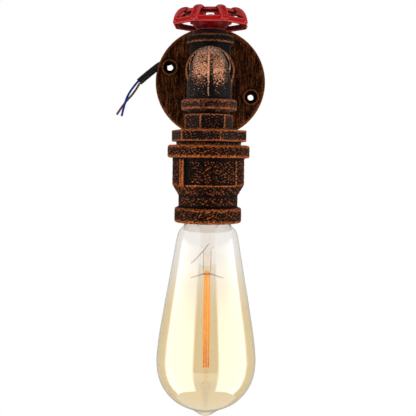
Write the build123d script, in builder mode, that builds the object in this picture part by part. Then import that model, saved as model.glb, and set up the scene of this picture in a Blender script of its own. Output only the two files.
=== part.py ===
from build123d import *
import math
import os

# Industrial pipe wall light: malleable iron pipe fittings on a round wall flange, with a red
# handwheel above and a long amber bulb below. All sizes in millimetres.
# Frame: origin at the centre of the flange's back face, wall plane y = 0, the light reaches
# towards -Y, +Z is up. The bulb hangs on a vertical axis in front of the wall.

# Where the pieces stand
tee_depth = 68.0          # wall to the tee's upright branch
stack_depth = 162.0       # wall to the bulb's axis
fit_gap = 0.05            # radial gap in every screwed or pushed joint
bend_share = 0.45         # part of a wire's run that its bend takes up

# Pipe thread sizes: three-quarter inch, half inch and inch and a quarter
thread_34 = 13.2          # outside radius
thread_12 = 10.45
thread_114 = 21.0
thread_depth = 13.0       # how far a pipe is screwed in
pipe_34_bore = 10.6
pipe_12_bore = 8.0
thread_reach = 14.0       # depth of a fitting's thread
pipe_chamfer = 0.8

# Wall flange
flange_r = 46.0
flange_t = 9.5
flange_edge = 1.4
hub_r = 19.0
hub_front = 24.0          # wall to the hub's front face
hub_fillet = 3.2
bolt_circle_r = 36.2
bolt_count = 4
bolt_first_deg = 160.4
bolt_hole_r = 2.6
sink_r = 5.3
sink_depth = 2.2
bolt_ring_r = 6.7
bolt_ring_h = 0.7
recess_r = 28.5
recess_depth = 7.0

# Supply lead, clipped in the flange's recess
lead_r = 3.0
lead_back = 3.9           # wall to the lead's centre line
lead_channel_w = 8.0
lead_end = (-60.2, 0.0)
lead_droop = (-53.4, 6.2)
lead_turn = (-36.6, 19.4)
lead_stop = (-14.5, 19.4)
core_r = 0.95
clip_t = 0.7
clip_w = 6.0
clip_foot = 7.4
clip_at_x = -19.5
clip_gap = 0.05
clip_screw_r = 1.4
clip_screw_head_r = 2.5
clip_screw_head_h = 1.1
clip_screw_into = 1.9
clip_screw_edge = 0.4
clip_screw_spot = (clip_at_x, lead_stop[1] - lead_r - clip_gap - clip_t - clip_foot / 2)

# Free core ends beside the lead
blue_tail = ((-60.9, 0.8), (-67.0, -6.6), (-71.8, -17.0), (-74.4, -29.2))
brown_tail = ((-59.5, -0.8), (-64.4, -9.4), (-72.6, -17.8), (-78.8, -27.8))
blue_tail_y = (-3.9, -5.1, -6.6, -6.2)
brown_tail_y = (-3.9, -3.2, -3.3, -3.8)

# Flange nipple
flange_nipple_back = 10.5
flange_nipple_front = tee_depth - 17.0

# Tee
tee_arm = 29.5
tee_body_r = 15.9
tee_branch_r = 15.7
tee_cavity_r = 12.4
band_34_r = 18.0
band_34_h = 6.4
band_edge = 1.3

# Bonnet plug, spindle and handwheel
plug_bottom = 15.6
plug_top = 33.0
plug_edge = 1.0
stem_r = 3.0
stem_bottom = 12.6
stem_square = 5.0
wheel_square_bottom = 36.0
stem_thread_r = 2.0
stem_top = 46.2
clip_groove_r = 2.3
circlip_r = 4.7
circlip_t = 0.7
circlip_under = 0.6
circlip_side = 0.05
circlip_mouth = 3.6
wheel_count = 8
wheel_first_deg = 20.5
wheel_bottom = 36.6
wheel_rim_r = 30.0        # axis to the rim's corners
wheel_rim_in = 24.8
wheel_rim_h = 4.4
wheel_edge = 0.9
wheel_crown_r = 20.6
wheel_crown_in = 17.2
wheel_crown_bottom = 46.4
wheel_crown_h = 2.1
wheel_collar_in = 15.4
wheel_collar_bottom = 44.6
wheel_collar_top = 48.6
wheel_rib_w = 6.2
wheel_rib_t = 3.0
wheel_rib_edge = 1.1
wheel_rib_line = (
    (30.1, 36.8), (28.7, 43.3), (26.4, 47.6), (23.4, 49.6), (19.8, 50.2), (16.4, 48.6),
    (14.6, 44.4), (13.4, 39.0),
)
wheel_hub_r = 10.5
wheel_hub_bottom = 33.7
wheel_hub_top = 41.0
wheel_dish_r = 15.2
wheel_dish_bottom = 40.0
wheel_dish_edge_h = 1.6
wheel_dish_floor = 37.6
wheel_boss_r = 6.5
washer_r = 4.5
washer_t = 0.8
wheel_nut_af = 7.0
wheel_nut_h = 3.2

# Reducing nipple between the tee and the elbow
link_back = tee_depth + tee_arm - thread_depth + 1.0
link_step = tee_depth + tee_arm + 8.0
link_cone = 4.0

# Elbow
elbow_before_tee = 18.5   # tee's front face to the elbow's rear face
elbow_back_arm = stack_depth - tee_depth - tee_arm - elbow_before_tee
elbow_down_arm = 33.2     # flange axis to the elbow's lower face
elbow_back_r = 12.4
elbow_down_r = 14.6
elbow_bend = 17.0
elbow_wall = 2.9
band_12_r = 14.6
band_12_h = 6.0
elbow_band_h = 6.6

# Hex nipple
nipple_hex_top = -35.9
nipple_hex_bottom = -46.0
nipple_hex_af = 27.6
nipple_turn = 10.0
nipple_top = elbow_down_arm - thread_depth + 1.0
nipple_tail = 10.0

# Hex bushing
bushing_hex_h = 7.5
bushing_af = 43.3
bushing_turn = -13.0
bushing_bottom = -63.0
bushing_web = 4.5
bushing_undercut = 0.8

# Reducing socket
socket_top = -55.7
socket_bottom = -105.6
socket_band_r = 26.5
socket_band_h = 8.2
socket_body_r = 23.2
socket_body_bottom = -81.2
socket_neck_r = 19.1
socket_neck_top = -88.0
socket_lip_r = 21.6
socket_lip_h = 9.9
socket_lip_edge = 1.6
socket_cavity_r = 20.2
socket_mouth_r = 17.4
socket_throat_top = -83.2
socket_throat_bottom = -87.2
socket_rib_w = 3.6
socket_rib_h = 1.0
socket_rib_root = 1.0     # how far each rib reaches into the wall
socket_rib_deg = 225.0

# Threaded tube and its locknut
tube_r = 5.0
tube_bore = 3.8
tube_top = -52.6
tube_bottom = -65.8
locknut_af = 14.0
locknut_h = 3.0

# Lampholder
holder_top = -63.4
holder_roof = 2.8
holder_cap_r = 18.4
holder_cap_bottom = -82.0
holder_edge = 1.2
holder_body_r = 16.2
holder_body_in = 14.05
holder_body_bottom = -101.4
block_top = -71.6
block_t = 2.9
shell_in = 13.5
shell_out = 13.95
shell_bottom = -97.5
contact_gap = 0.1         # block to the brass strips below it
contact_w = 4.2
contact_t = 0.5
contact_leg_w = 2.4
tongue_bend = 4.2
tongue_low = 1.5
tongue_dip = 1.5
terminal_x = 7.6
terminal_w = 6.0
terminal_d = 6.4
terminal_h = 3.6
terminal_screw_out = 1.7
terminal_screw_r = 1.1
terminal_head_r = 2.1
terminal_head_h = 1.2

# Bulb, screwed into the holder
bulb_tip = -76.9          # end of the centre contact
bulb_cap_r = 13.15
bulb_cap_wall = 0.35
bulb_cap_bevel = 1.2
insulator_skirt = 0.9
button_edge = 0.8
bulb_cap_top = -80.4
bulb_cap_bottom = -102.6
bulb_button_r = 4.7
bulb_button_h = 1.6
bulb_insulator_r = 11.0
glass_wall = 0.9
glass_neck_r = 12.7
glass_neck_top = -98.4
glass_neck_z = -103.2
glass_tip_wall = 1.6
glass_line = (
    (15.9, -108.0), (19.2, -112.8), (21.6, -125.5), (23.8, -138.4), (26.2, -152.0),
    (28.5, -165.6), (30.6, -178.8), (32.0, -194.6), (30.8, -204.4), (26.4, -213.2),
    (18.8, -220.6), (10.6, -225.0),
)
glass_nipple = ((6.4, -228.8), (0.0, -230.6))
stem_flare_r = 11.4
stem_flare_top = -99.6
stem_neck_r = 4.2
stem_neck_z = -112.0
stem_pinch_z = -122.0
rod_r = 1.6
rod_waist_r = 0.95
rod_bottom = -211.0
rod_foot_r = 2.4
rod_foot_h = 1.6
filament_r = 0.42
filament_ring_r = 1.5
filament_count = 4
filament_top = -137.2
filament_bottom = -199.4
support_r = 0.3
support_span = 10.6
support_z = -139.4
support_droop = 2.2
support_eye_r = 2.6
support_eye_in = 2.3
support_eye_h = 0.9
feed_r = 0.35
feed_x = 2.4
tie_front = -4.8
tie_line = ((0.8, -119.0), (-3.4, -124.6), (-10.2, -131.6))

# Inner wires: the shared route from the lead's end to the lampholder, and how far each wire
# stands to its own side of it
wire_dip = 0.3            # first corner, a little further from the wall than the lead
wire_dip_z = 7.5
wire_past_hub = 12.0      # flange hub's face to the second corner
wire_past_tee = 14.0      # tee's branch to the third
wire_before_stack = 38.0  # fourth corner to the bulb's axis
wire_sway = 1.2
wire_entry = 1.6          # end of each wire above the contact block
wire_route = (
    (lead_stop[0], -lead_back, lead_stop[1]),
    (0.0, -lead_back - wire_dip, wire_dip_z),
    (0.0, -hub_front - wire_past_hub, 1.5),
    (0.0, -tee_depth - wire_past_tee, -1.6),
    (0.0, wire_before_stack - stack_depth, 1.8),
    (0.0, -stack_depth, 0.6),
    (0.0, wire_sway - stack_depth, -24.0),
    (0.0, -stack_depth, nipple_hex_bottom),
    (0.0, -stack_depth, tube_bottom - 0.1),
    (0.0, -stack_depth, block_top + wire_entry),
)
wire_aside = (0.0, 1.0, 1.2, 1.3, 1.3, 1.3, 1.3, 1.3, 1.3, 6.6)
wire_ahead = (1.0, 1.0, 0.0, 0.0, 0.0, 0.0, 0.0, 0.0, 0.0, 0.0)

os.makedirs("parts", exist_ok=True)
wall_side = Plane.XZ
stack_axis = Axis((0, -stack_depth, 0), (0, 0, 1))
stack_plane = Plane.XZ.offset(stack_depth)


def ahead(distance):
    """Upright plane this far in front of the wall, facing the room."""
    return Plane.XZ.offset(distance)


def level(height, depth):
    """Level plane at this height, with its origin this far in front of the wall."""
    return Plane(origin=(0, -depth, height), x_dir=(1, 0, 0), z_dir=(0, 0, 1))


def hand_over(piece, name):
    """Label the piece, write its file and print its volume."""
    piece.part.label = name
    export_step(piece.part, f"parts/{name}.step")
    print(f"{name:22s} {piece.part.volume:10.1f} mm3  solids {len(piece.part.solids())}")


def bend_radii(points):
    """Fillet radius for each inner corner of a route, from its shorter run and its turn."""
    radii = []
    for before, here, after in zip(points, points[1:], points[2:]):
        into = Vector(*here) - Vector(*before)
        out = Vector(*after) - Vector(*here)
        half_turn = math.radians(into.get_angle(out)) / 2
        radii.append(round(bend_share * min(into.length, out.length) / math.tan(half_turn), 2))
    return radii


def started_early(points, distance):
    """The same route with its first point moved back, so that a cut can trim it flush."""
    first, second = Vector(*points[0]), Vector(*points[1])
    return [(first - (second - first).normalized() * distance), *points[1:]]


def inset_line(points, wall):
    """The inner points of an outline moved sideways by the wall, square to their neighbours."""
    moved = []
    for before, here, after in zip(points, points[1:], points[2:]):
        run = math.hypot(after[0] - before[0], after[1] - before[1])
        across = (after[1] - before[1]) / run
        down = (after[0] - before[0]) / run
        moved.append((here[0] + wall * across, here[1] - wall * down))
    return moved


# Lead route in the flange's recess
lead_points = [(x, -lead_back, z) for x, z in (lead_end, lead_droop, lead_turn, lead_stop)]
lead_radii = bend_radii(lead_points)

# Wall flange: plate, hub, screw bore, countersunk holes and the lead's recess in the back
bolt_spots = PolarLocations(bolt_circle_r, bolt_count, bolt_first_deg)
with BuildPart() as wall_flange:
    with BuildSketch(wall_side):
        Circle(flange_r)
    extrude(amount=flange_t)
    fillet(wall_flange.edges().group_by(Axis.Y)[0], flange_edge)
    with BuildSketch(wall_side):
        Circle(hub_r)
    extrude(amount=hub_front)
    plate_join = wall_flange.edges().filter_by(GeomType.CIRCLE).filter_by(
        lambda edge: abs(edge.radius - hub_r) < fit_gap and abs(edge.center().Y + flange_t) < fit_gap
    )
    fillet(plate_join, hub_fillet)
    with BuildSketch(ahead(flange_t)):
        with bolt_spots:
            Circle(bolt_ring_r)
    extrude(amount=bolt_ring_h)
    with BuildSketch(ahead(flange_t + bolt_ring_h)):
        with bolt_spots:
            Circle(sink_r)
    extrude(amount=-sink_depth - bolt_ring_h, taper=math.degrees(math.atan2(
        sink_r - bolt_hole_r, sink_depth + bolt_ring_h)), mode=Mode.SUBTRACT)
    with BuildSketch(wall_side):
        with bolt_spots:
            Circle(bolt_hole_r)
        Circle(thread_34 + fit_gap)
    extrude(amount=hub_front, mode=Mode.SUBTRACT)
    with BuildSketch(wall_side):
        Circle(recess_r)
        with BuildLine():
            FilletPolyline(lead_end, lead_droop, lead_turn, lead_stop, radius=lead_radii)
        trace(line_width=lead_channel_w)
    extrude(amount=recess_depth, mode=Mode.SUBTRACT)
    with BuildSketch(ahead(recess_depth)):
        with Locations(clip_screw_spot):
            Circle(clip_screw_r + fit_gap)
    extrude(amount=clip_screw_into + fit_gap, mode=Mode.SUBTRACT)
hand_over(wall_flange, "wall_flange")

# Lead: sheath from the free end to its stop in the recess
with BuildPart() as lead_sheath:
    with BuildLine():
        lead_path = FilletPolyline(*lead_points, radius=lead_radii)
    with BuildSketch(Plane(origin=lead_path @ 0, z_dir=lead_path % 0)):
        Circle(lead_r)
    sweep(path=lead_path)
hand_over(lead_sheath, "lead_sheath")

# Free core ends: each starts on the sheath's end face and droops
sheath_end = Vector(*lead_points[0])
for core_name, tail, tail_y in (
    ("lead_core_blue", blue_tail, blue_tail_y),
    ("lead_core_brown", brown_tail, brown_tail_y),
):
    core_points = started_early([(x, y, z) for (x, z), y in zip(tail, tail_y)], 2 * core_r)
    core_radii = bend_radii(core_points)
    with BuildPart() as lead_core:
        with BuildLine():
            core_path = FilletPolyline(*core_points, radius=core_radii)
        with BuildSketch(Plane(origin=core_path @ 0, z_dir=core_path % 0)):
            Circle(core_r)
        sweep(path=core_path)
        split(bisect_by=Plane(origin=sheath_end, z_dir=lead_path % 0), keep=Keep.BOTTOM)
    hand_over(lead_core, core_name)
    print("bend radii", core_name, core_radii)
print("bend radii lead_sheath", lead_radii)

# Saddle clip over the lead, and the screw through its foot
clip_height = recess_depth - lead_back
clip_plane = Plane(
    origin=(clip_at_x - clip_w / 2, -lead_back, lead_stop[1]), x_dir=(0, 0, 1), z_dir=(1, 0, 0)
)
clip_in = lead_r + clip_gap
clip_out = clip_in + clip_t
with BuildPart() as lead_clip:
    with BuildSketch(clip_plane):
        Circle(clip_out)
        with Locations((0, clip_height / 2)):
            Rectangle(2 * clip_out, clip_height)
        with Locations((-clip_out - clip_foot / 2, clip_height - clip_t / 2)):
            Rectangle(clip_foot + clip_t, clip_t)
        Circle(clip_in, mode=Mode.SUBTRACT)
        with Locations((0, clip_height / 2)):
            Rectangle(2 * clip_in, clip_height, mode=Mode.SUBTRACT)
        with Locations((0, clip_height + clip_out / 2)):
            Rectangle(2 * clip_out, clip_out, mode=Mode.SUBTRACT)
    extrude(amount=clip_w)
    with BuildSketch(ahead(recess_depth)):
        with Locations(clip_screw_spot):
            Circle(clip_screw_r + fit_gap)
    extrude(amount=-clip_t, mode=Mode.SUBTRACT)
hand_over(lead_clip, "lead_clip")
with BuildPart() as clip_screw:
    with BuildSketch(ahead(recess_depth - clip_t)):
        with Locations(clip_screw_spot):
            Circle(clip_screw_head_r)
    extrude(amount=-clip_screw_head_h)
    with BuildSketch(ahead(recess_depth - clip_t)):
        with Locations(clip_screw_spot):
            Circle(clip_screw_r)
    extrude(amount=clip_t + clip_screw_into)
    fillet(clip_screw.edges().filter_by(GeomType.CIRCLE).sort_by(Axis.Y)[-1], clip_screw_edge)
hand_over(clip_screw, "clip_screw")

# Inner wires, side by side along the pipes
for wire_name, side in (("holder_wire_blue", -1), ("holder_wire_brown", 1)):
    wire_points = [
        (x + side * aside, y + side * forward, z)
        for (x, y, z), aside, forward in zip(wire_route, wire_aside, wire_ahead)
    ]
    wire_points = started_early(wire_points, 2 * core_r)
    wire_radii = bend_radii(wire_points)
    with BuildPart() as holder_wire:
        with BuildLine():
            wire_path = FilletPolyline(*wire_points, radius=wire_radii)
        with BuildSketch(Plane(origin=wire_path @ 0, z_dir=wire_path % 0)):
            Circle(core_r)
        sweep(path=wire_path)
        split(bisect_by=Plane(origin=lead_path @ 1, z_dir=lead_path % 1), keep=Keep.TOP)
    hand_over(holder_wire, wire_name)
    print("bend radii", wire_name, wire_radii, "length", round(wire_path.length, 1))
    print("volume over section times length", round(
        holder_wire.part.volume / (math.pi * core_r**2 * wire_path.length), 4))

# Flange nipple: pipe between the flange's hub and the tee
with BuildPart() as flange_nipple:
    with BuildSketch(ahead(flange_nipple_back)):
        Circle(thread_34)
        Circle(pipe_34_bore, mode=Mode.SUBTRACT)
    extrude(amount=flange_nipple_front - flange_nipple_back)
    chamfer(flange_nipple.edges().filter_by(GeomType.CIRCLE).filter_by(
        lambda edge: abs(edge.radius - thread_34) < fit_gap), pipe_chamfer)
hand_over(flange_nipple, "flange_nipple")

# Tee: run front to back, branch upwards, a bead round each mouth
with BuildPart() as pipe_tee:
    with BuildSketch(ahead(tee_depth - tee_arm)):
        Circle(tee_body_r)
    extrude(amount=2 * tee_arm)
    with BuildSketch(level(0, tee_depth)):
        Circle(tee_branch_r)
    extrude(amount=tee_arm)
    for mouth in (ahead(tee_depth - tee_arm), ahead(tee_depth + tee_arm - band_34_h)):
        with BuildSketch(mouth):
            Circle(band_34_r)
        extrude(amount=band_34_h)
    with BuildSketch(level(tee_arm - band_34_h, tee_depth)):
        Circle(band_34_r)
    extrude(amount=band_34_h)
    fillet(pipe_tee.edges().filter_by(GeomType.CIRCLE).filter_by(
        lambda edge: abs(edge.radius - band_34_r) < fit_gap), band_edge)
    with BuildSketch(ahead(tee_depth - tee_arm)):
        Circle(tee_cavity_r)
    extrude(amount=2 * tee_arm, mode=Mode.SUBTRACT)
    with BuildSketch(level(0, tee_depth)):
        Circle(tee_cavity_r)
    extrude(amount=tee_arm, mode=Mode.SUBTRACT)
    for mouth in (ahead(tee_depth - tee_arm), ahead(tee_depth + tee_arm - thread_reach)):
        with BuildSketch(mouth):
            Circle(thread_34 + fit_gap)
        extrude(amount=thread_reach, mode=Mode.SUBTRACT)
    with BuildSketch(level(tee_arm - thread_reach, tee_depth)):
        Circle(thread_34 + fit_gap)
    extrude(amount=thread_reach, mode=Mode.SUBTRACT)
hand_over(pipe_tee, "pipe_tee")

# Bonnet plug that closes the branch and carries the spindle
with BuildPart() as bonnet_plug:
    with BuildSketch(level(plug_bottom, tee_depth)):
        Circle(thread_34)
    extrude(amount=plug_top - plug_bottom)
    fillet(bonnet_plug.edges().group_by(Axis.Z)[-1], plug_edge)
    with BuildSketch(level(plug_bottom, tee_depth)):
        Circle(stem_r + fit_gap)
    extrude(amount=plug_top - plug_bottom, mode=Mode.SUBTRACT)
hand_over(bonnet_plug, "bonnet_plug")

# Spindle: round in the plug, square in the wheel, threaded above, grooved below
circlip_top = plug_bottom - circlip_under
with BuildPart() as wheel_stem:
    with BuildSketch(level(stem_bottom, tee_depth)):
        Circle(stem_r)
    extrude(amount=wheel_square_bottom - stem_bottom)
    with BuildSketch(level(wheel_square_bottom, tee_depth)):
        Rectangle(stem_square, stem_square, rotation=wheel_first_deg)
        Circle(stem_r, mode=Mode.INTERSECT)
    extrude(amount=wheel_hub_top - wheel_square_bottom)
    with BuildSketch(level(wheel_hub_top, tee_depth)):
        Circle(stem_thread_r)
    extrude(amount=stem_top - wheel_hub_top)
    with BuildSketch(level(circlip_top - circlip_t, tee_depth)):
        Circle(stem_r)
        Circle(clip_groove_r, mode=Mode.SUBTRACT)
    extrude(amount=circlip_t, mode=Mode.SUBTRACT)
hand_over(wheel_stem, "wheel_stem")
with BuildPart() as stem_circlip:
    with BuildSketch(level(circlip_top - circlip_t + circlip_side, tee_depth)):
        Circle(circlip_r)
        Circle(clip_groove_r + fit_gap, mode=Mode.SUBTRACT)
        with Locations((circlip_r, 0)):
            Rectangle(2 * circlip_r, circlip_mouth, mode=Mode.SUBTRACT)
    extrude(amount=circlip_t - 2 * circlip_side)
hand_over(stem_circlip, "stem_circlip")

# Handwheel: eight-sided rim, raised crown with its collar, and eight ribs arched from the
# rim's corners over the crown and down to the dished hub
wheel_base = Plane(
    origin=(0, -tee_depth, 0), x_dir=(1, 0, 0), z_dir=(0, 0, 1)
).rotated((0, 0, wheel_first_deg))
rib_side = Plane(origin=wheel_base.origin, x_dir=wheel_base.x_dir, z_dir=-wheel_base.y_dir)
rib_inner = inset_line(
    [(wheel_rib_line[0][0], wheel_rib_line[0][1] - wheel_rib_t), *wheel_rib_line,
     (wheel_rib_line[-1][0], wheel_rib_line[-1][1] - wheel_rib_t)], -wheel_rib_t)
with BuildPart() as wheel_rib:
    with BuildSketch(rib_side.offset(-wheel_rib_w / 2)):
        with BuildLine():
            outer_line = Spline(*wheel_rib_line)
            inner_line = Spline(*rib_inner)
            Line(outer_line @ 0, inner_line @ 0)
            Line(outer_line @ 1, inner_line @ 1)
        make_face()
    extrude(amount=wheel_rib_w)
    fillet(wheel_rib.edges().filter_by(GeomType.BSPLINE), wheel_rib_edge)
with BuildPart() as handwheel:
    with BuildSketch(level(wheel_bottom, tee_depth)):
        RegularPolygon(wheel_rim_r, wheel_count, rotation=wheel_first_deg)
        Circle(wheel_rim_in, mode=Mode.SUBTRACT)
    extrude(amount=wheel_rim_h)
    fillet(handwheel.edges().filter_by(Axis.Z, reverse=True), wheel_edge)
    with BuildSketch(level(wheel_crown_bottom, tee_depth)):
        Circle(wheel_crown_r)
        Circle(wheel_crown_in, mode=Mode.SUBTRACT)
    extrude(amount=wheel_crown_h)
    with BuildSketch(level(wheel_collar_bottom, tee_depth)):
        Circle(wheel_crown_in + wheel_edge)
        Circle(wheel_collar_in, mode=Mode.SUBTRACT)
    extrude(amount=wheel_collar_top - wheel_collar_bottom)
    with BuildSketch(Plane.XZ.offset(tee_depth)):
        with BuildLine():
            Polyline(
                (0, wheel_hub_bottom), (wheel_hub_r, wheel_hub_bottom),
                (wheel_dish_r, wheel_dish_bottom),
                (wheel_dish_r, wheel_dish_bottom + wheel_dish_edge_h),
                (wheel_dish_r - wheel_rib_t, wheel_dish_bottom + wheel_dish_edge_h),
                (wheel_hub_r, wheel_dish_floor), (wheel_boss_r, wheel_dish_floor),
                (wheel_boss_r, wheel_hub_top), (0, wheel_hub_top), close=True,
            )
        make_face()
    revolve(axis=Axis((0, -tee_depth, 0), (0, 0, 1)))
    with Locations((0, -tee_depth, 0)):
        with PolarLocations(0, wheel_count):
            add(wheel_rib.part.moved(Location((0, tee_depth, 0))))
    with BuildSketch(level(wheel_hub_bottom, tee_depth)):
        Circle(stem_r + fit_gap)
    extrude(amount=wheel_square_bottom - wheel_hub_bottom, mode=Mode.SUBTRACT)
    with BuildSketch(level(wheel_square_bottom, tee_depth)):
        Rectangle(stem_square + 2 * fit_gap, stem_square + 2 * fit_gap, rotation=wheel_first_deg)
        Circle(stem_r + fit_gap, mode=Mode.INTERSECT)
    extrude(amount=wheel_hub_top - wheel_square_bottom, mode=Mode.SUBTRACT)
hand_over(handwheel, "handwheel")
with BuildPart() as wheel_washer:
    with BuildSketch(level(wheel_hub_top, tee_depth)):
        Circle(washer_r)
        Circle(stem_thread_r + fit_gap, mode=Mode.SUBTRACT)
    extrude(amount=washer_t)
hand_over(wheel_washer, "wheel_washer")
with BuildPart() as wheel_nut:
    with BuildSketch(level(wheel_hub_top + washer_t, tee_depth)):
        RegularPolygon(wheel_nut_af / 2, 6, major_radius=False)
        Circle(stem_thread_r + fit_gap, mode=Mode.SUBTRACT)
    extrude(amount=wheel_nut_h)
hand_over(wheel_nut, "wheel_nut")

# Reducing nipple from the tee to the elbow
link_front = stack_depth - elbow_back_arm + thread_depth
link_taper = link_step + link_cone
with BuildPart() as link_nipple:
    with BuildSketch(Plane.XY):
        with BuildLine():
            Polyline(
                (pipe_12_bore, -link_back), (thread_34 - pipe_chamfer, -link_back),
                (thread_34, -link_back - pipe_chamfer), (thread_34, -link_step),
                (thread_12, -link_taper), (thread_12, -link_front + pipe_chamfer),
                (thread_12 - pipe_chamfer, -link_front), (pipe_12_bore, -link_front),
                close=True,
            )
        make_face()
    revolve(axis=Axis.Y)
hand_over(link_nipple, "link_nipple")

# Elbow: half inch at the back, three-quarter inch below, swept through a widening bend
elbow_back_face = stack_depth - elbow_back_arm
bend_start = (0, -stack_depth + elbow_bend, 0)
bend_end = (0, -stack_depth, -elbow_bend)
bend_middle = (
    0,
    -stack_depth + elbow_bend - elbow_bend * math.sin(math.radians(45)),
    -elbow_bend + elbow_bend * math.cos(math.radians(45)),
)


def elbow_solid(back_radius, down_radius):
    """Round elbow shape: rear arm, bend and lower arm, without its beads."""
    with BuildPart() as shape:
        with BuildLine():
            bend_path = ThreePointArc(bend_start, bend_middle, bend_end)
        with BuildSketch(Plane(origin=bend_start, x_dir=(1, 0, 0), z_dir=(0, -1, 0))):
            Circle(back_radius)
        with BuildSketch(Plane(origin=bend_end, x_dir=(1, 0, 0), z_dir=(0, 0, -1))):
            Circle(down_radius)
        sweep(path=bend_path, multisection=True)
        with BuildSketch(ahead(elbow_back_face)):
            Circle(back_radius)
        extrude(amount=elbow_back_arm - elbow_bend)
        with BuildSketch(level(-elbow_down_arm, stack_depth)):
            Circle(down_radius)
        extrude(amount=elbow_down_arm - elbow_bend)
    return shape.part


with BuildPart() as pipe_elbow:
    add(elbow_solid(elbow_back_r, elbow_down_r))
    with BuildSketch(ahead(elbow_back_face)):
        Circle(band_12_r)
    extrude(amount=band_12_h)
    with BuildSketch(level(-elbow_down_arm, stack_depth)):
        Circle(band_34_r)
    extrude(amount=elbow_band_h)
    fillet(pipe_elbow.edges().filter_by(GeomType.CIRCLE).filter_by(
        lambda edge: edge.radius > band_12_r - fit_gap), band_edge)
    add(elbow_solid(elbow_back_r - elbow_wall, elbow_down_r - elbow_wall), mode=Mode.SUBTRACT)
    with BuildSketch(ahead(elbow_back_face)):
        Circle(thread_12 + fit_gap)
    extrude(amount=thread_reach, mode=Mode.SUBTRACT)
    with BuildSketch(level(-elbow_down_arm, stack_depth)):
        Circle(thread_34 + fit_gap)
    extrude(amount=thread_reach, mode=Mode.SUBTRACT)
hand_over(pipe_elbow, "pipe_elbow")

# Hex nipple from the elbow to the bushing
nipple_length = nipple_tail - nipple_hex_bottom - nipple_top
with BuildPart() as hex_nipple:
    with BuildSketch(level(nipple_hex_bottom - nipple_tail, stack_depth)):
        Circle(thread_34)
    extrude(amount=nipple_length)
    chamfer(hex_nipple.edges().filter_by(GeomType.CIRCLE), pipe_chamfer)
    with BuildSketch(level(nipple_hex_bottom, stack_depth)):
        RegularPolygon(nipple_hex_af / 2, 6, major_radius=False, rotation=nipple_turn)
    extrude(amount=nipple_hex_top - nipple_hex_bottom)
    with BuildSketch(level(nipple_hex_bottom - nipple_tail, stack_depth)):
        Circle(pipe_34_bore)
    extrude(amount=nipple_length, mode=Mode.SUBTRACT)
hand_over(hex_nipple, "hex_nipple")

# Hex bushing: hex head, outside thread, a web below the nipple's thread for the tube
bushing_face = nipple_hex_bottom - bushing_hex_h
with BuildPart() as hex_bushing:
    with BuildSketch(level(bushing_face, stack_depth)):
        RegularPolygon(bushing_af / 2, 6, major_radius=False, rotation=bushing_turn)
    extrude(amount=bushing_hex_h)
    with BuildSketch(level(bushing_face - bushing_undercut, stack_depth)):
        Circle(thread_114 - bushing_undercut)
    extrude(amount=bushing_undercut)
    with BuildSketch(level(bushing_bottom, stack_depth)):
        Circle(thread_114)
    extrude(amount=bushing_face - bushing_undercut - bushing_bottom)
    with BuildSketch(level(bushing_bottom + bushing_web, stack_depth)):
        Circle(thread_34 + fit_gap)
    extrude(amount=nipple_hex_bottom - bushing_bottom - bushing_web, mode=Mode.SUBTRACT)
    with BuildSketch(level(bushing_bottom, stack_depth)):
        Circle(tube_r + fit_gap)
    extrude(amount=bushing_web, mode=Mode.SUBTRACT)
hand_over(hex_bushing, "hex_bushing")

# Reducing socket: wide band, body, taper and rounded lip, hollow for the lampholder
with BuildPart() as reducing_socket:
    with BuildSketch(stack_plane):
        with BuildLine():
            Polyline(
                (thread_114 + fit_gap, socket_top), (socket_band_r, socket_top),
                (socket_band_r, socket_top - socket_band_h),
                (socket_body_r, socket_top - socket_band_h), (socket_body_r, socket_body_bottom),
                (socket_neck_r, socket_neck_top), (socket_neck_r, socket_bottom + socket_lip_h),
                (socket_lip_r, socket_bottom + socket_lip_h), (socket_lip_r, socket_bottom),
                (socket_mouth_r, socket_bottom), (socket_mouth_r, socket_throat_bottom),
                (socket_cavity_r, socket_throat_top), (socket_cavity_r, bushing_bottom),
                (thread_114 + fit_gap, bushing_bottom), close=True,
            )
        make_face()
    revolve(axis=stack_axis)
    fillet(reducing_socket.edges().filter_by(GeomType.CIRCLE).filter_by(
        lambda edge: abs(edge.radius - socket_lip_r) < fit_gap), socket_lip_edge)
    fillet(reducing_socket.edges().filter_by(GeomType.CIRCLE).filter_by(
        lambda edge: abs(edge.radius - socket_band_r) < fit_gap), band_edge)
    for turn in (socket_rib_deg, socket_rib_deg + 180):
        with BuildSketch(Plane(
            origin=(0, -stack_depth, 0), x_dir=(0, 0, 1),
            z_dir=(-math.sin(math.radians(turn)), math.cos(math.radians(turn)), 0),
        ).offset(-socket_rib_w / 2)):
            with BuildLine():
                Polyline(
                    (socket_top - band_edge, socket_body_r - socket_rib_root),
                    (socket_top - band_edge, socket_body_r + socket_rib_h),
                    (socket_body_bottom, socket_body_r + socket_rib_h),
                    (socket_neck_top, socket_neck_r - socket_rib_root),
                    (socket_body_bottom, socket_body_r - socket_rib_root), close=True,
                )
            make_face()
        extrude(amount=socket_rib_w)
hand_over(reducing_socket, "reducing_socket")

# Threaded tube through the web, its locknut above
with BuildPart() as threaded_tube:
    with BuildSketch(level(tube_bottom, stack_depth)):
        Circle(tube_r)
        Circle(tube_bore, mode=Mode.SUBTRACT)
    extrude(amount=tube_top - tube_bottom)
hand_over(threaded_tube, "threaded_tube")
with BuildPart() as tube_locknut:
    with BuildSketch(level(bushing_bottom + bushing_web, stack_depth)):
        RegularPolygon(locknut_af / 2, 6, major_radius=False)
        Circle(tube_r + fit_gap, mode=Mode.SUBTRACT)
    extrude(amount=locknut_h)
hand_over(tube_locknut, "tube_locknut")

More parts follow.
